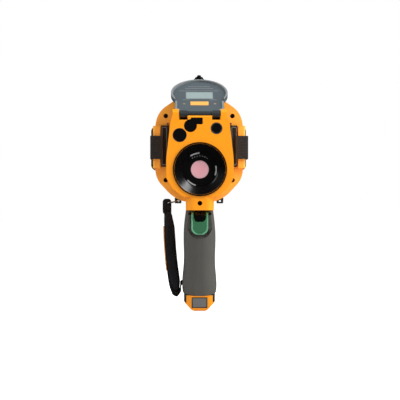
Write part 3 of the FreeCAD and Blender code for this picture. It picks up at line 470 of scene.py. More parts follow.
def moulded(name, colour, rough, grain=3200, bump=0.25, metal=0.0, coat=0.0, vary=0.05, specular=0.5):
    """Plastic, rubber or painted metal: faint blotches, a fine moulded grain and uneven gloss."""
    material = bpy.data.materials.new(name + "_look")
    material.use_nodes = True
    tree, shader = tree_and_shader(material)
    shader.inputs["Metallic"].default_value = metal
    shader.inputs["Coat Weight"].default_value = coat
    shader.inputs["Coat Roughness"].default_value = 0.08
    shader.inputs["Specular IOR Level"].default_value = specular
    blotches = noise(tree, 55)
    tint = blend(tree, blotches, shade(colour, 1 - vary), shade(colour, 1 + vary))
    tree.links.new(tint, shader.inputs["Base Color"])
    gloss = tree.nodes.new("ShaderNodeMapRange")
    gloss.inputs["To Min"].default_value = max(0.02, rough - 0.05)
    gloss.inputs["To Max"].default_value = min(1.0, rough + 0.05)
    tree.links.new(noise(tree, 240), gloss.inputs["Value"])
    tree.links.new(gloss.outputs["Result"], shader.inputs["Roughness"])
    if bump > 0:
        add_bump(tree, shader, noise(tree, grain), bump, 0.12)
    return material


def woven(name, colour):
    """Narrow fabric: two crossed sets of threads, seen as a small diagonal weave."""
    material = moulded(name, colour, 0.85, bump=0.0, vary=0.12, specular=0.2)
    tree, shader = tree_and_shader(material)
    weave = tree.nodes.new("ShaderNodeMath")
    weave.operation = "MULTIPLY"
    for socket, turn in zip(weave.inputs, (THREAD_TURN, -THREAD_TURN)):
        wave = tree.nodes.new("ShaderNodeTexWave")
        wave.bands_direction = "Z"
        wave.inputs["Scale"].default_value = 260
        wave.inputs["Distortion"].default_value = 0.6
        tree.links.new(mapped(tree, "Rotation", (turn, 0, 0)), wave.inputs["Vector"])
        tree.links.new(wave.outputs["Fac"], socket)
    add_bump(tree, shader, weave.outputs["Value"], 0.8, 0.25)
    return material


def pebbled(name, colour, rough, scale, bump):
    """Moulded surface with small raised dots."""
    material = moulded(name, colour, rough, bump=0.0)
    tree, shader = tree_and_shader(material)
    add_bump(tree, shader, cells(tree, scale).outputs["Distance"], bump, 0.3)
    return material


def brushed(name, colour, rough):
    """Machined metal with faint lines along Z."""
    material = moulded(name, colour, rough, bump=0.0, metal=1.0, vary=0.04)
    tree, shader = tree_and_shader(material)
    lines = noise(tree, 900, mapped(tree, "Scale", (1.0, 1.0, 0.05)))
    add_bump(tree, shader, lines, 0.15, 0.05)
    return material


def board(name):
    """Printed circuit board: solder mask with slightly lighter tracks."""
    material = moulded(name, srgb("1E6B3C"), 0.35, bump=0.0, vary=0.0)
    tree, shader = tree_and_shader(material)
    blocks = cells(tree, 320)
    blocks.distance = "MANHATTAN"
    blocks.feature = "DISTANCE_TO_EDGE"
    narrow = tree.nodes.new("ShaderNodeMath")
    narrow.operation = "LESS_THAN"
    narrow.inputs[1].default_value = 0.05
    tree.links.new(blocks.outputs["Distance"], narrow.inputs[0])
    tracks = blend(tree, narrow.outputs["Value"], srgb("1B5F36"), srgb("2F8A50"))
    tree.links.new(tracks, shader.inputs["Base Color"])
    return material


def coated(name, colour, ring):
    """Infrared lens: a coating that turns to the ring's paler colour towards the rim."""
    material = moulded(name, colour, 0.12, bump=0.0, coat=0.6, vary=0.03)
    tree, shader = tree_and_shader(material)
    centre = tree.nodes.new("ShaderNodeVectorMath")
    centre.operation = "DISTANCE"
    centre.inputs[1].default_value = spot(*COATING_CENTRE)
    tree.links.new(coordinates(tree), centre.inputs[0])
    rim = tree.nodes.new("ShaderNodeMapRange")
    rim.inputs["From Min"].default_value = 4.0 * MM
    rim.inputs["From Max"].default_value = 14.0 * MM
    tree.links.new(centre.outputs["Value"], rim.inputs["Value"])
    tree.links.new(blend(tree, rim.outputs["Result"], colour, ring), shader.inputs["Base Color"])
    return material


MOULDED = {     # finish: colour, roughness, and where it differs from matt plastic with a moulded grain
    "dark_plastic": ("2C2C2E", 0.5),
    "cover_rim": ("7F8486", 0.36, {"grain": 3800, "bump": 0.1}),
    "hinge_dark": ("2E3335", 0.45, {"grain": 3800, "bump": 0.1}),
    "door_rubber": ("292C2E", 0.6),
    # darker strip of the side doors: painted shade in their recess; on the charge panel, the dark joint
    # round its edge
    "recess_shade_and_joint": ("14171A", 0.65),
    # pale frame round the doors' strip: a painted highlight on its edges
    "door_edge_highlight": ("6E6E68", 0.5),
    # lighter green of the trigger's rim: a painted highlight on its edges
    "trigger_rim_highlight": ("6FB48B", 0.3, {"bump": 0.08}),
    "trigger_black": ("09090B", 0.4, {"bump": 0.1, "specular": 0.3}),
    "panel_grey": ("717170", 0.45),
    "lens_black": ("060405", 0.24, {"bump": 0.0}),
    "lens_metal": ("0C0A0B", 0.34, {"bump": 0.05, "specular": 0.3}),
    # pale grey of the lug faces: a painted reflection of the studio lights
    "lug_reflection_grey": ("B9B9B9", 0.3, {"bump": 0.05}),
    "tick_grey": ("E4E4E4", 0.5, {"bump": 0.0}),
    "mark_pale": ("C9A274", 0.5, {"bump": 0.0}),
    "window_glass": ("060607", 0.08, {"bump": 0.0, "coat": 0.3}),
    "window_rim": ("3B3B3C", 0.3, {"bump": 0.0}),
    "screen_glass": ("0A0A0C", 0.05, {"bump": 0.0, "coat": 1.0}),
    "screen_dark": ("16181B", 0.12, {"bump": 0.0, "coat": 0.6}),
    "black_steel": ("0B0B0C", 0.4, {"bump": 0.1, "specular": 0.3}),
    "frame_alloy": ("A8A9AB", 0.42, {"metal": 0.9}),
    "module_black": ("1A1A1C", 0.45),
    "cell_blue": ("2B4F8F", 0.35),
    "seal_rubber": ("1C1C1C", 0.75),
    "thread_black": ("0C0C0D", 0.8, {"bump": 0.0}),
    "key_grey": ("3A3A3C", 0.6),
    "key_mark": ("C9CACB", 0.5, {"bump": 0.0}),
    "label_orange": ("F3AC57", 0.45, {"bump": 0.0, "vary": 0.02}),
}


def make_materials():
    """Every finish, and each CAD node in its slot's finish."""
    for name, (code, rough, *changes) in MOULDED.items():
        moulded(name, srgb(code), rough, **(changes[0] if changes else {}))
    look = bpy.context.scene
    shells = look.thermcam_shell
    moulded("orange_shell", tuple(shells.colour), 0.42, grain=4200, bump=0.18, vary=0.03)
    # paler copy of the shell orange for the rear shell, partly painted light
    moulded("orange_rear_tone_and_light", tuple(shells.rear_tone_and_light_colour), 0.36, grain=4200, bump=0.18, vary=0.03)
    moulded("cover_grey", tuple(look.thermcam_cover.colour), 0.5, grain=3800, bump=0.15)
    moulded("label_plate", tuple(look.thermcam_cover.label), 0.3, bump=0.0, vary=0.02)
    pebbled("grip_rubber", tuple(look.thermcam_grip.colour), 0.62, 1500, 0.22)
    pebbled("trigger_green", tuple(look.thermcam_grip.trigger), 0.55, 1300, 0.5)
    coated("coated_glass", tuple(look.thermcam_lens.glass), srgb("FFC6CE"))
    brushed("steel", srgb("C4C4C6"), 0.28)
    board("board_green")
    woven("strap_black", srgb("1A191C"))
    woven("strap_orange", srgb("F59A20"))
    for node in frame["nodes"]:
        data = frame["nodes"][node].data
        data.materials.clear()
        data.materials.append(finish(slot_of(node)))


# ------------------------------------------------------------------ pieces
NOSE_STEPS = ((182.0, 33.0), (150.0, 31.9), (0.0, 15.0))    # from this height up, half width of the face
NOSE_TOP = 240.5            # just under the front housing's top edge
DOOR_BLOCKS = (173.5, 225.3)    # between these heights the side doors' blocks stand on the rear shell
REAR_MIDDLE = 198.0         # height of the rear shell's middle
CATCH_Z = 130.2             # socket for the cover's catch
SCREWS = [(x, z) for x in (-41.3, 41.3) for z in (238.0, 158.6)]
HEXAGON = 6


def nose_inner(z):
    """Half width just inside the front housing's outline at a height."""
    return next(half for height, half in NOSE_STEPS if z > height)


def on_nose_outline(edge):
    """Whether an edge belongs to the outline of the front housing's face, and not to a hole in it."""
    return outline_edge(edge, NOSE_Y) and all(
        abs(vert.co.x) > nose_inner(vert.co.z / MM) * MM or vert.co.z > NOSE_TOP * MM
        for vert in edge.verts)


def on_rear_rim(edge):
    """Whether an edge belongs to the rear shell's outer front rim, clear of the door blocks."""
    low, high = DOOR_BLOCKS
    clear = all(vert.co.z > high * MM or vert.co.z < low * MM for vert in edge.verts)
    has_wall = any(abs(face.normal.y) < 0.2 for face in edge.link_faces)
    outward = any(face.normal.dot(Vector((vert.co.x, 0, vert.co.z - REAR_MIDDLE * MM))) > 15 * MM
                  for face in edge.link_faces for vert in edge.verts)
    return outline_edge(edge, FLANGE_Y) and clear and has_wall and outward


class THERMCAM_OT_shells(bpy.types.Operator):
    """Front housing with its rounded outline and a black disc of painted shade in its catch socket, rear
    shell with its soft rim in a paler orange that is partly painted light, and screws
    """
    bl_idname = "thermcam.shells"
    bl_label = "Shells"

    def execute(self, context):
        look = context.scene.thermcam_shell
        edge = look.edge / MM
        nose = start_from("front_housing")
        round_outline(nose, on_nose_outline, look.nose_edge)
        settle(soften(to_object(nose, "nose_skin"), edge), "front_housing", "front_housing")
        # a black disc inside the catch socket: painted shade in the hole
        hole_shade = prism(disc_outline(3.0, 0, CATCH_Z, 24), NOSE_Y + 2.1, NOSE_Y + 2.8, front_place)
        settle(to_object(hole_shade, "catch_hole_shade", "trigger_black"), "front_housing")
        rear = start_from("rear_shell")
        round_outline(rear, on_rear_rim, look.flange_edge)
        # the rear shell takes the paler orange, partly painted light
        shell = to_object(rear, "rear_shell_skin", "orange_rear_tone_and_light")
        settle(soften(shell, edge), "rear_shell", "rear_shell")
        screws = to_object(start_from("shell_screws"), "screws")
        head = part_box("shell_screws")[0].y / MM
        sockets = [disc_outline(1.35, x, z, HEXAGON) for x, z in SCREWS]
        carve(screws, prisms(sockets, head - 1, head + 1.1, front_place))
        settle(soften(screws, 0.25, 2), "shell_screws", "shell_screws")
        return {"FINISHED"}


RING_FRONT = NOSE_Y - 1.5   # front of the black ring round the lens
RING_BACK = NOSE_Y + 11.0
RING_SEAT = 30.9            # radius of the ring in the front housing's hole
RING_EDGE = 31.7            # radius of its lip on the front housing's face
THROAT = 20.75              # radius of the opening behind the cone
CONE_NARROW = (21.0, 7.0)   # radius of the cone's deep end, and its depth behind the ring's front
CONE_WIDE = (30.1, 1.6)
GROOVE_FIRST = 22.6         # radius of the innermost groove
GROOVE_STEP = 2.4
LUG_TURNS = (108, 356, 238)     # degrees round the lens's axis, to the middle of each bayonet lug
LUG_RADII = (18.5, 20.0)
LUG_HALF_TURN = 17          # degrees
LUG_LEVELS = (-58.15, -58.55)   # back and front of the pale faces on the lugs, a painted reflection
TICK_TURN = 11              # degrees from one tick to the next
TICK_INNER = 15.6
TICK_LENGTH = 0.75
TICK_HALF_WIDTH = 0.32
GLASS_CROWN = 0.9           # how far the front lens's middle stands out


def ring_profile(grooves):
    """Section of the ring round the lens: its lip, its seat, its throat and the grooved cone."""
    profile = [(30.5, RING_FRONT), (31.2, RING_FRONT), (31.6, RING_FRONT + 0.15),
               (RING_EDGE, RING_FRONT + 0.5), (RING_EDGE, NOSE_Y + 0.2), (RING_SEAT, NOSE_Y + 0.2),
               (RING_SEAT, RING_BACK), (THROAT, RING_BACK), (THROAT, RING_FRONT + CONE_NARROW[1] + 0.3),
               (CONE_NARROW[0], RING_FRONT + CONE_NARROW[1])]
    slope = (CONE_WIDE[1] - CONE_NARROW[1]) / (CONE_WIDE[0] - CONE_NARROW[0])
    for i in range(grooves):
        radius = GROOVE_FIRST + i * GROOVE_STEP
        y = RING_FRONT + CONE_NARROW[1] + (radius - CONE_NARROW[0]) * slope
        profile += [(radius - 0.15, y + 0.09), (radius, y + 0.3), (radius + 0.15, y - 0.09)]
    return profile + [(CONE_WIDE[0], RING_FRONT + CONE_WIDE[1]), (30.3, RING_FRONT + 0.4)]


def lug_outline(middle, steps=12):
    """Front outline of a bayonet lug: a short arc of a flat ring."""
    outline = []
    inner, outer = LUG_RADII
    for radius, side in ((outer, 1), (inner, -1)):
        for step in range(steps + 1):
            angle = math.radians(middle + side * LUG_HALF_TURN * (1 - 2 * step / steps))
            outline.append((radius * math.cos(angle), LENS_Z + radius * math.sin(angle)))
    return outline


def tick_outline(turn):
    """Front outline of a tick mark; the turn is in degrees from the top of the lens."""
    angle = math.radians(90 + turn)
    along = Vector((math.cos(angle), math.sin(angle)))
    across = Vector((-along.y, along.x)) * TICK_HALF_WIDTH
    far = TICK_INNER + TICK_LENGTH
    corners = [along * reach + across * side
               for reach, side in ((TICK_INNER, 1), (TICK_INNER, -1), (far, -1), (far, 1))]
    return [(corner.x, LENS_Z + corner.y) for corner in corners]


def lens_profile(steps=12):
    """Section of the front lens from its rim over the crown to the axis, and back along its flat face."""
    low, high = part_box("front_lens")
    rim = (high.x - low.x) / 2 / MM
    radii = [rim * (1 - step / steps) for step in range(steps + 1)]
    dome = [(radius, low.y / MM + GLASS_CROWN * (radius / rim) ** 2) for radius in radii]
    return dome + [(0, high.y / MM), (rim, high.y / MM)]


class THERMCAM_OT_lens(bpy.types.Operator):
    """Lens ring with its glossy cone, bayonet barrel with pale faces of painted reflection on its lugs,
    lens cell with plain ticks, and the coated lens
    """
    bl_idname = "thermcam.lens"
    bl_label = "Lens"

    def execute(self, context):
        look = context.scene.thermcam_lens
        ring = to_object(turned(ring_profile(look.grooves), 0, LENS_Z, 128), "lens_ring")
        settle(ring, "lens_bezel", "lens_bezel")
        dress("lens_barrel", "lens_tube", 0.3, 2)
        # the lugs' pale faces are a painted reflection, arcs of light on the barrel
        lugs = prisms([lug_outline(middle) for middle in LUG_TURNS], *LUG_LEVELS, front_place)
        settle(soften(to_object(lugs, "bayonet", "lug_reflection_grey"), 0.12, 2), "lens_barrel")
        dress("lens_cell", "cell", 0.25, 2)
        face_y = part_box("lens_cell")[0].y / MM
        first = -(look.ticks - 1) / 2
        outlines = [tick_outline((first + i) * TICK_TURN) for i in range(look.ticks)]
        ticks = prisms(outlines, face_y + 0.1, face_y - 0.04, front_place)
        settle(to_object(ticks, "ticks", "tick_grey"), "lens_cell")
        settle(to_object(turned(lens_profile(), 0, LENS_Z), "front_glass"), "front_lens", "front_lens")
        return {"FINISHED"}


WINDOW_RIMS = (("lamp", -23.8, 210.0, 8.3, 0.5),    # name, across, height, radius and width
               ("laser", 19.4, 218.0, 7.0, 1.3))


class THERMCAM_OT_windows(bpy.types.Operator):
    """The three dark windows above the lens, two of them in thin rims"""
    bl_idname = "thermcam.windows"
    bl_label = "Windows"

    def execute(self, context):
        dress("sensor_windows", "windows", 0.2, 2)
        face_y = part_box("sensor_windows")[0].y / MM
        for name, x, z, radius, width in WINDOW_RIMS:
            inner = radius - width
            profile = [(inner, face_y + 0.3), (inner, face_y - 0.15), (inner + 0.2, face_y - 0.3),
                       (radius - 0.15, face_y - 0.3), (radius, face_y - 0.1), (radius, face_y + 0.3)]
            settle(to_object(turned(profile, x, z, 64), name + "_rim", "window_rim"), "sensor_windows")
        return {"FINISHED"}


COVER_PLATES = (    # name, finish, width, height, corner, place across, distance from the hinge, rise
    ("label_frame", "cover_rim", 33.4, 17.6, 1.2, 0, 61.3, 0.25),
    ("label_plate", "label_plate", 31.6, 15.8, 0.8, 0, 61.3, 0.38),
    ("label_strip", "label_orange", 21.8, 9.2, 0.6, 0, 41.2, 0.2),
    ("label_line", "cover_rim", 48, 0.9, 0.3, 0, 73.4, 0.25),
    ("bar_long", "cover_rim", 35, 1.0, 0.4, 0, 79.5, 0.15),
    ("bar_short", "cover_rim", 27, 1.0, 0.4, 0, 84.5, 0.15),
    ("dash_left", "cover_rim", 8.5, 0.9, 0.3, -16.6, 50.5, 0.2),
    ("dash_right", "cover_rim", 8.5, 0.9, 0.3, 16.6, 50.5, 0.2))
PLATE_SINK = 0.2            # how deep the plates are set into the cover
RIM_START = 40.0            # distance from the hinge at which the cover's paler rim starts
HINGE_END = 21.5            # distance from the hinge at which its darker arms end
MARK_X, MARK_REACH = 18.6, 40.0
SLEEVE_HALF = 14.2          # the hinge's sleeve reaches this far to each side


def neck_rib(side):
    """Outline of the bent rib along one arm of the cover."""
    return rounded([(side * 26.9, 46, 0.8), (side * 26.9, 27, 1.0), (side * 22.6, 23.4, 0.8),
                    (side * 23.6, 22.2, 0.8), (side * 29.3, 25.6, 1.5), (side * 29.3, 46, 0.8)])


class THERMCAM_OT_cover(bpy.types.Operator):
    """Hinged lens cover with a paler rim, blank label plates, its hinge and its black catch"""
    bl_idname = "thermcam.cover"
    bl_label = "Lens cover"

    def execute(self, context):
        lid = to_object(start_from("lens_cover"), "lid")
        closed = OPEN.inverted()
        settle(lid, "lens_cover", "lens_cover")
        paint(lid, "cover_rim", lambda face: (closed @ face.center).z > (COVER_LEVEL + 0.3) * MM
              and (closed @ face.center).y > RIM_START * MM)
        soften(lid, 0.5)
        paint(lid, "hinge_dark", lambda face: (closed @ face.center).y < HINGE_END * MM)
        plates = [(name, finish_name, box_outline(*shape), rise)
                  for name, finish_name, *shape, rise in COVER_PLATES]
        plates += [("neck_rib", "cover_rim", neck_rib(side), 1.2) for side in (-1, 1)]
        low = COVER_LEVEL - PLATE_SINK
        for name, finish_name, outline, rise in plates:
            plate = to_object(prism(outline, low, COVER_LEVEL + rise, cover_place), name, finish_name)
            settle(soften(plate, 0.12, 2), "lens_cover")
        for x in (-MARK_X, MARK_X):
            mark = prism(box_outline(2.8, 1.3, 0.5, x, MARK_REACH), low, COVER_LEVEL + 0.2, cover_place)
            settle(to_object(mark, "cover_mark", "mark_pale"), "lens_cover")
        pin_low, pin_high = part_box("hinge_pin")
        axis = (pin_low + pin_high) / 2 / MM
        sleeve = prism(disc_outline(3.3, axis.y, axis.z), -SLEEVE_HALF, SLEEVE_HALF, side_place)
        settle(soften(to_object(sleeve, "hinge_sleeve", "hinge_dark"), 0.4, 2), "lens_cover")
        dress("cover_catch", "catch", 0.5)
        dress("hinge_pin", "pin", 0.2, 2)
        return {"FINISHED"}


TRIGGER_FOOT_Z = 112.2      # middle of the lower trigger's round foot, along the grip
FOOT_RADIUS = 7.7           # the lighter rim, a painted highlight that is also glossier, starts this far from the foot's middle
RIM_X = 8.2                 # and this far from the trigger's middle above the foot
SIDE_X = 9.0                # side faces beyond this belong to the rim too


class THERMCAM_OT_grip(bpy.types.Operator):
    """Soft grip sleeve with its finger scoop, and the pair of triggers"""
    bl_idname = "thermcam.grip"
    bl_label = "Grip and triggers"

    def execute(self, context):
        look = context.scene.thermcam_grip
        dress("grip_sleeve", "sleeve", 0.8, 4)
        trigger = start_from("primary_trigger")
        # faces of the rim get the lighter green, a painted highlight
        for face in inset_faces(trigger, front_faces(trigger, 0.45), look.trigger_rim_highlight, -0.3 * MM):
            place = (UPRIGHT @ face.calc_center_median()) / MM
            rounding = math.hypot(place.x, place.z - TRIGGER_FOOT_Z) > FOOT_RADIUS
            if abs(place.x) > RIM_X or place.z < TRIGGER_FOOT_Z and rounding:
                face.material_index = 1
        for face in trigger.faces:
            sideways = abs((UPRIGHT.to_3x3() @ face.normal).x) > 0.8
            if sideways and abs((UPRIGHT @ face.calc_center_median()).x) > SIDE_X * MM:
                face.material_index = 1
        finished = to_object(trigger, "trigger", "trigger_green", "trigger_rim_highlight")
        settle(soften(finished, 0.3, 2), "primary_trigger", "primary_trigger")
        dress("secondary_trigger", "upper_trigger_skin", 0.9, 4)
        dress("trigger_pin", "trigger_axle", 0.15, 2, "black_steel")
        for node in ("trigger_springs", "trigger_switches"):
            frame["nodes"][node].data.materials[0] = finish("trigger_black")
        return {"FINISHED"}


class THERMCAM_OT_base(bpy.types.Operator):
    """Battery base with its charge panel and side latches"""
    bl_idname = "thermcam.base"
    bl_label = "Battery base"

    def execute(self, context):
        dress("battery_base", "base", 0.9, 4)
        panel = start_from("charge_button")
        for face in inset_faces(panel, front_faces(panel, 0.9), 0.8 * MM, 0):
            face.material_index = 1
        finished = to_object(panel, "charge_panel", "panel_grey", "recess_shade_and_joint")
        settle(soften(finished, 0.35), "charge_button", "charge_button")
        for node in ("latch_left", "latch_right"):
            dress(node, node + "_skin", 0.4)
        return {"FINISHED"}


TAB_X = 47.2                # a door's ribbed tab starts this far from the middle; nearer the middle the strip is painted darker as shade
RIB_X = 53.2
RIBS = [187.7 + i * 3.7 for i in range(7)]
STRIP_X, STRIP_Z = 43.0, 200.5      # middle of the strip beside a door's tab
STRIP_Y = 13.5              # its front face
STRIP_OUTSIDE = (6.6, 47.5, 1.6)    # width, height and corner of its pale frame, a painted highlight
STRIP_INSIDE = (4.6, 45.3, 0.9)


class THERMCAM_OT_doors(bpy.types.Operator):
    """Rubber side doors: ribbed tabs, a strip in front of the sockets darkened by painted shade and framed
    in a pale painted highlight, and their pins
    """
    bl_idname = "thermcam.doors"
    bl_label = "Side doors"

    def execute(self, context):
        for side, node in ((-1, "side_door_left"), (1, "side_door_right")):
            door = to_object(start_from(node), node + "_skin")
            settle(door, node, node)
            # the strip nearer the middle is painted darker, as shade in its recess
            paint(door, "recess_shade_and_joint", lambda face: abs(face.center.x) < TAB_X * MM)
            soften(door, 0.5)
            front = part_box(node)[0].y / MM
            outlines = [box_outline(8.4, 1.1, 0.5, side * RIB_X, z) for z in RIBS]
            ribs = prisms(outlines, front + 0.2, front - 0.4, front_place)
            settle(soften(to_object(ribs, node + "_ribs"), 0.2, 2), node)
            outside, inside = [box_outline(*shape, side * STRIP_X, STRIP_Z)
                               for shape in (STRIP_OUTSIDE, STRIP_INSIDE)]
            # the frame's pale colour is a painted highlight along the strip's edges
            border = to_object(prism(outside, STRIP_Y + 0.2, STRIP_Y - 0.45, front_place),
                               node + "_frame", "door_edge_highlight")
            carve(border, prism(inside, STRIP_Y + 1, STRIP_Y - 1, front_place))
            settle(soften(border, 0.2, 2), node)
        dress("door_pins", "door_axles", 0.2, 2)
        return {"FINISHED"}


BACK_FACE = (44.5, 139.0, 247.5)    # half width, bottom and top just inside the rear cover's outline
BACK_EDGE = 0.0028          # rounding of that outline, in metres
SCREEN_Z = 211.0            # height of the screen's middle


def on_back_outline(edge):
    """Whether an edge belongs to the outline of the rear cover's back, and not to a hole in it."""
    half, bottom, top = BACK_FACE
    return outline_edge(edge, BACK_Y) and all(
        abs(vert.co.x) > half * MM or vert.co.z > top * MM or vert.co.z < bottom * MM
        for vert in edge.verts)


def key_marks():
    """Outlines of the plain marks on each key, round the key's middle."""
    arrows = []
    for turn in range(4):
        angle = math.radians(90 * turn)
        along = Vector((math.cos(angle), math.sin(angle)))
        across = Vector((-along.y, along.x)) * 1.3
        arrows.append([tuple(along * 7.3), tuple(along * 5.7 + across), tuple(along * 5.7 - across)])
    return {"nav_key": arrows + [box_outline(3.0, 3.0, 0.6)],
            "back_key": [[(-2.6, 0), (-0.4, 1.9), (-0.4, -1.9)], box_outline(2.8, 1.1, 0.2, 1.0, 0)],
            "gallery_key": [box_outline(2.0, 2.0, 0.2, a, b) for a in (-1.3, 1.3) for b in (-1.3, 1.3)],
            "power_key": [box_outline(0.7, 2.6, 0.2)]}


class THERMCAM_OT_rear(bpy.types.Operator):
    """Rear cover with its touch glass, dark display area and marked rubber keys"""
    bl_idname = "thermcam.rear"
    bl_label = "Rear"

    def execute(self, context):
        back = start_from("rear_cover")
        round_outline(back, on_back_outline, BACK_EDGE)
        settle(soften(to_object(back, "back"), 0.5), "rear_cover", "rear_cover")
        dress("touch_glass", "glass", 0.3, 2)
        glass_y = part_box("touch_glass")[1].y / MM
        view = prism(box_outline(76, 57, 1.0, 0, SCREEN_Z), glass_y - 0.3, glass_y + 0.02, front_place)
        settle(to_object(view, "view_area", "screen_dark"), "touch_glass")
        for node, outlines in key_marks().items():
            dress(node, node + "_cap", 0.5)
            low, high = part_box(node)
            middle = (low + high) / 2 / MM
            top = high.y / MM
            placed = [[(middle.x + a, middle.z + b) for a, b in outline] for outline in outlines]
            marks = prisms(placed, top - 0.2, top + 0.03, front_place)
            settle(to_object(marks, node + "_mark", "key_mark"), node)
        return {"FINISHED"}


# The strap's layers seen from the front, as if it stood upright: x and z along each outer face.
WEB_PATH = [(-43.05, 118), (-43.05, 106), (-42.6, 87), (-41.7, 73.5), (-40.7, 61), (-39.3, 48),
            (-38.0, 38), (-36.5, 30)]
PATCH_PATH = [(-44.15, 102), (-43.65, 87), (-42.75, 73.5), (-41.75, 61), (-40.75, 51)]
WEB_ROWS = (-8.6, 8.6)      # depths of the rows of stitches
PATCH_ROWS = (-6.9, 6.9)
STITCH_SHARE = 0.7          # a stitch's share of its pitch
THREAD_HALF = 0.28
PAD_GRID = 2.6              # voxel of the pad's even mesh
PAD_FOOT = 30.0             # below this height the pad stays as sewn
PAD_SWELL = 1.0             # how far the filling may push the pad's surface out
PAD_CLOTH = {"quality": 6, "mass": 0.02, "tension_stiffness": 12, "compression_stiffness": 12,
             "bending_stiffness": 0.4}
CLOTH_FRAMES = 20


def along_path(path, pitch):
    """Points every pitch along a path, each with the path's direction."""
    points = []
    left = pitch / 2
    for start, end in zip(path, path[1:]):
        start, end = Vector(start), Vector(end)
        run = end - start
        while left < run.length:
            points.append((start + run.normalized() * left, run.normalized()))
            left += pitch
        left -= run.length
    return points


def stitch_rows(path, rows, pitch):
    """Rows of raised thread along a path, one row at each depth."""
    bm = bmesh.new()
    half = pitch * STITCH_SHARE / 2
    for middle, run in along_path(path, pitch):
        out = Vector((run.y, -run.x))
        if out.x > 0:
            out = -out
        for y in rows:
            section = [(half, -0.2), (half, 0.05), (half - 0.4, 0.22), (0.4 - half, 0.22), (-half, 0.05),
                       (-half, -0.2)]
            points = [middle + run * reach + out * rise for reach, rise in section]
            add_prism(bm, [tuple(point) for point in points], y - THREAD_HALF, y + THREAD_HALF, strap_place)
    bmesh.ops.recalc_face_normals(bm, faces=bm.faces)
    return bm


def plump(obj, pressure, held):
    """Fill a closed piece by cloth simulation from a fixed start; held(point) picks what stays put."""
    scene = bpy.context.scene
    group = obj.vertex_groups.new(name="held")
    group.add([vert.index for vert in obj.data.vertices if held(vert.co)], 1.0, "REPLACE")
    cloth = obj.modifiers.new("fill", "CLOTH")
    for setting, value in PAD_CLOTH.items():
        setattr(cloth.settings, setting, value)
    cloth.settings.use_pressure = True
    cloth.settings.uniform_pressure_force = pressure
    cloth.settings.vertex_group_mass = "held"
    cloth.settings.effector_weights.gravity = 0
    cloth.point_cache.frame_start = 1
    cloth.point_cache.frame_end = CLOTH_FRAMES
    for step in range(1, CLOTH_FRAMES + 1):
        scene.frame_set(step)
    result = baked_mesh(obj)
    for vert, old in zip(result.vertices, obj.data.vertices):
        move = vert.co - old.co
        if move.length > PAD_SWELL * MM:
            vert.co = old.co + move.normalized() * PAD_SWELL * MM
    scene.frame_set(1)
    obj.modifiers.clear()
    old = obj.data
    obj.data = result
    bpy.data.meshes.remove(old)


def make_pad(pressure):
    """The strap's pad: an even mesh, filled by the cloth simulation and smoothed once."""
    pad = to_object(start_from("strap_pad"), "pad")
    remesh = pad.modifiers.new("even", "REMESH")
    remesh.mode = "VOXEL"
    remesh.voxel_size = PAD_GRID * MM
    even = baked_mesh(pad)
    pad.modifiers.clear()
    pad.data = even
    even.name = "pad"
    straight = STRAP.inverted()
    plump(pad, pressure, lambda point: (straight @ point).z < PAD_FOOT * MM)
    for polygon in pad.data.polygons:
        polygon.use_smooth = True
    pad.data.materials.clear()
    pad.data.materials.append(finish("strap_black"))
    smooth = pad.modifiers.new("smooth", "SUBSURF")
    smooth.levels = 1
    smooth.render_levels = 1
    return pad


class THERMCAM_OT_strap(bpy.types.Operator):
    """Padded hand strap: cloth-filled pad, stitched webbing, bright patch, wire link and lugs"""
    bl_idname = "thermcam.strap"
    bl_label = "Hand strap"

    def execute(self, context):
        look = context.scene.thermcam_strap
        pad = make_pad(look.fill)
        settle(pad, "strap_pad", "strap_pad")
        dress("strap_webbing", "webbing", 0.35, 2)
        dress("strap_patch", "patch", 0.3, 2)
        dress("strap_link", "link", 0.1, 2)
        dress("strap_lugs", "lugs", 0.5)
        pitch = look.stitch / MM
        web = to_object(stitch_rows(WEB_PATH, WEB_ROWS, pitch), "web_stitches", "thread_black")
        settle(web, "strap_webbing")
        patch = to_object(stitch_rows(PATCH_PATH, PATCH_ROWS, pitch), "patch_stitches", "thread_black")
        settle(patch, "strap_patch")
        return {"FINISHED"}


class THERMCAM_OT_insides(bpy.types.Operator):
    """Rounded edges on four inner pieces; the other inner pieces keep their CAD surfaces"""
    bl_idname = "thermcam.insides"
    bl_label = "Insides"

    def execute(self, context):
        for node in ("chassis_frame", "detector", "shutter_unit", "focus_motor"):
            dress(node, node + "_skin", 0.2, 2)
        return {"FINISHED"}


# ------------------------------------------------------------------ stage
def stage_material(name, colour, seen):
    """White that the camera sees almost evenly and that takes a soft shadow; reflections see it dark."""
    material = bpy.data.materials.new(name)
    material.use_nodes = True
    tree, shader = tree_and_shader(material)
    shader.inputs["Base Color"].default_value = colour
    shader.inputs["Roughness"].default_value = 0.9
    glow = tree.nodes.new("ShaderNodeEmission")
    glow.inputs["Color"].default_value = (1, 1, 1, 1)
    glow.inputs["Strength"].default_value = seen
    lit = tree.nodes.new("ShaderNodeAddShader")
    tree.links.new(shader.outputs[0], lit.inputs[0])
    tree.links.new(glow.outputs[0], lit.inputs[1])
    dim = tree.nodes.new("ShaderNodeBsdfDiffuse")
    dim.inputs["Color"].default_value = (0.03, 0.03, 0.03, 1)
    rays = tree.nodes.new("ShaderNodeLightPath")
    unseen = mix_shaders(tree, rays.outputs["Is Glossy Ray"], shader.outputs[0], dim.outputs[0])
    surface = mix_shaders(tree, rays.outputs["Is Camera Ray"], unseen, lit.outputs[0])
    tree.links.new(surface, tree.nodes["Material Output"].inputs["Surface"])
    return material


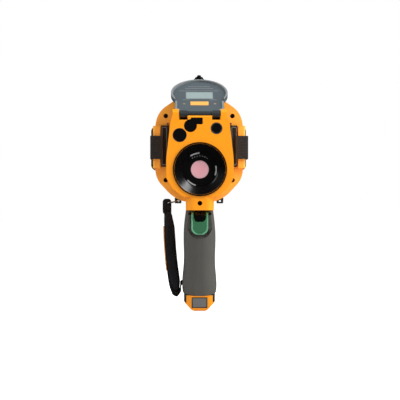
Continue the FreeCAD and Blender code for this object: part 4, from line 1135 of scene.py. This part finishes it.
def make_world(strength, mirrored):
    """Even white sky: white to the camera, dimmer as light, and dimmer still in reflections."""
    world = bpy.data.worlds.new("studio")
    world.use_nodes = True
    tree = world.node_tree
    sky = tree.nodes["Background"]
    seen, glossy = [tree.nodes.new("ShaderNodeBackground") for _ in range(2)]
    for background, power in ((sky, strength), (seen, 1.0), (glossy, mirrored)):
        background.inputs["Color"].default_value = (1, 1, 1, 1)
        background.inputs["Strength"].default_value = power
    rays = tree.nodes.new("ShaderNodeLightPath")
    unseen = mix_shaders(tree, rays.outputs["Is Glossy Ray"], sky.outputs[0], glossy.outputs[0])
    surface = mix_shaders(tree, rays.outputs["Is Camera Ray"], unseen, seen.outputs[0])
    tree.links.new(surface, tree.nodes["World Output"].inputs["Surface"])
    return world


def panel_light(name, place, aim, width, height, power):
    """Rectangular studio light; places and sizes in metres."""
    light = bpy.data.lights.new(name, "AREA")
    light.shape = "RECTANGLE"
    light.size = width
    light.size_y = height
    light.energy = power
    lamp = bpy.data.objects.new(name, light)
    lamp.location = place
    lamp.rotation_euler = (Vector(aim) - Vector(place)).to_track_quat("-Z", "Y").to_euler()
    bpy.context.scene.collection.objects.link(lamp)
    return lamp


LEFT_SHARE = 0.5            # each side panel's share of the side lights' power
RIGHT_SHARE = 1.25


class THERMCAM_OT_stage(bpy.types.Operator):
    """White floor, four studio panels, the sky and the camera"""
    bl_idname = "thermcam.stage"
    bl_label = "Stage"

    def execute(self, context):
        scene = context.scene
        look = scene.thermcam_stage
        bm = bmesh.new()
        bmesh.ops.create_grid(bm, x_segments=1, y_segments=1, size=6)
        floor = to_object(bm, "floor")
        floor.data.materials.append(stage_material("floor_white", (0.8, 0.8, 0.8, 1), 0.88))
        left = panel_light("left_panel", (-1.25, -0.2, 0.95), (0, 0, 0.2), 0.7, 0.9,
                           look.side_power * LEFT_SHARE)
        right = panel_light("right_panel", (1.4, -0.35, 0.5), (0, 0, 0.15), 0.8, 1.4,
                            look.side_power * RIGHT_SHARE)
        key = panel_light("key_box", (0.83, -0.63, 1.17), (0, -0.06, 0.17), 0.75, 0.4, look.key_power)
        top = panel_light("top_panel", (0, -0.5, 1.5), (0, 0, 0.1), 1.3, 0.9, look.top_power)
        for lamp in (right, top):
            lamp.visible_glossy = False
        scene.world = make_world(look.fill, look.mirrored)
        camera = bpy.data.objects.new("camera", bpy.data.cameras.new("camera"))
        scene.collection.objects.link(camera)
        camera.data.lens = 115.3
        camera.data.sensor_width = 36
        camera.location = (-0.018, -1.567, 0.134)
        camera.rotation_euler = (math.radians(90), 0, math.radians(-0.69))
        scene.camera = camera
        scene.view_settings.view_transform = "Standard"
        return {"FINISHED"}


# ------------------------------------------------------------------ add-on
SETTINGS = {"thermcam_shell": ShellSettings, "thermcam_lens": LensSettings, "thermcam_cover": CoverSettings,
            "thermcam_grip": GripSettings, "thermcam_strap": StrapSettings, "thermcam_stage": StageSettings}
OPERATORS = (THERMCAM_OT_shells, THERMCAM_OT_lens, THERMCAM_OT_windows, THERMCAM_OT_cover, THERMCAM_OT_grip,
             THERMCAM_OT_base, THERMCAM_OT_doors, THERMCAM_OT_rear, THERMCAM_OT_strap, THERMCAM_OT_insides,
             THERMCAM_OT_stage)


class THERMCAM_PT_panel(bpy.types.Panel):
    """Settings and build steps of the camera's looks"""
    bl_idname = "THERMCAM_PT_panel"
    bl_label = "Thermal Camera"
    bl_space_type = "VIEW_3D"
    bl_region_type = "UI"
    bl_category = "Thermal Camera"

    def draw(self, context):
        for name in SETTINGS:
            box = self.layout.box()
            group = getattr(context.scene, name)
            for key in group.bl_rna.properties.keys():
                if key not in ("rna_type", "name"):
                    box.prop(group, key)
        for operator in OPERATORS:
            self.layout.operator(operator.bl_idname)


def register():
    for settings in SETTINGS.values():
        bpy.utils.register_class(settings)
    for operator in OPERATORS:
        bpy.utils.register_class(operator)
    bpy.utils.register_class(THERMCAM_PT_panel)
    for name, settings in SETTINGS.items():
        setattr(bpy.types.Scene, name, PointerProperty(type=settings))


def unregister():
    for name in SETTINGS:
        delattr(bpy.types.Scene, name)
    bpy.utils.unregister_class(THERMCAM_PT_panel)
    for operator in reversed(OPERATORS):
        bpy.utils.unregister_class(operator)
    for settings in reversed(list(SETTINGS.values())):
        bpy.utils.unregister_class(settings)


def main():
    register()
    make_materials()
    for operator in OPERATORS:
        group, name = operator.bl_idname.split(".")
        getattr(getattr(bpy.ops, group), name)()


if __name__ == "__main__":
    main()
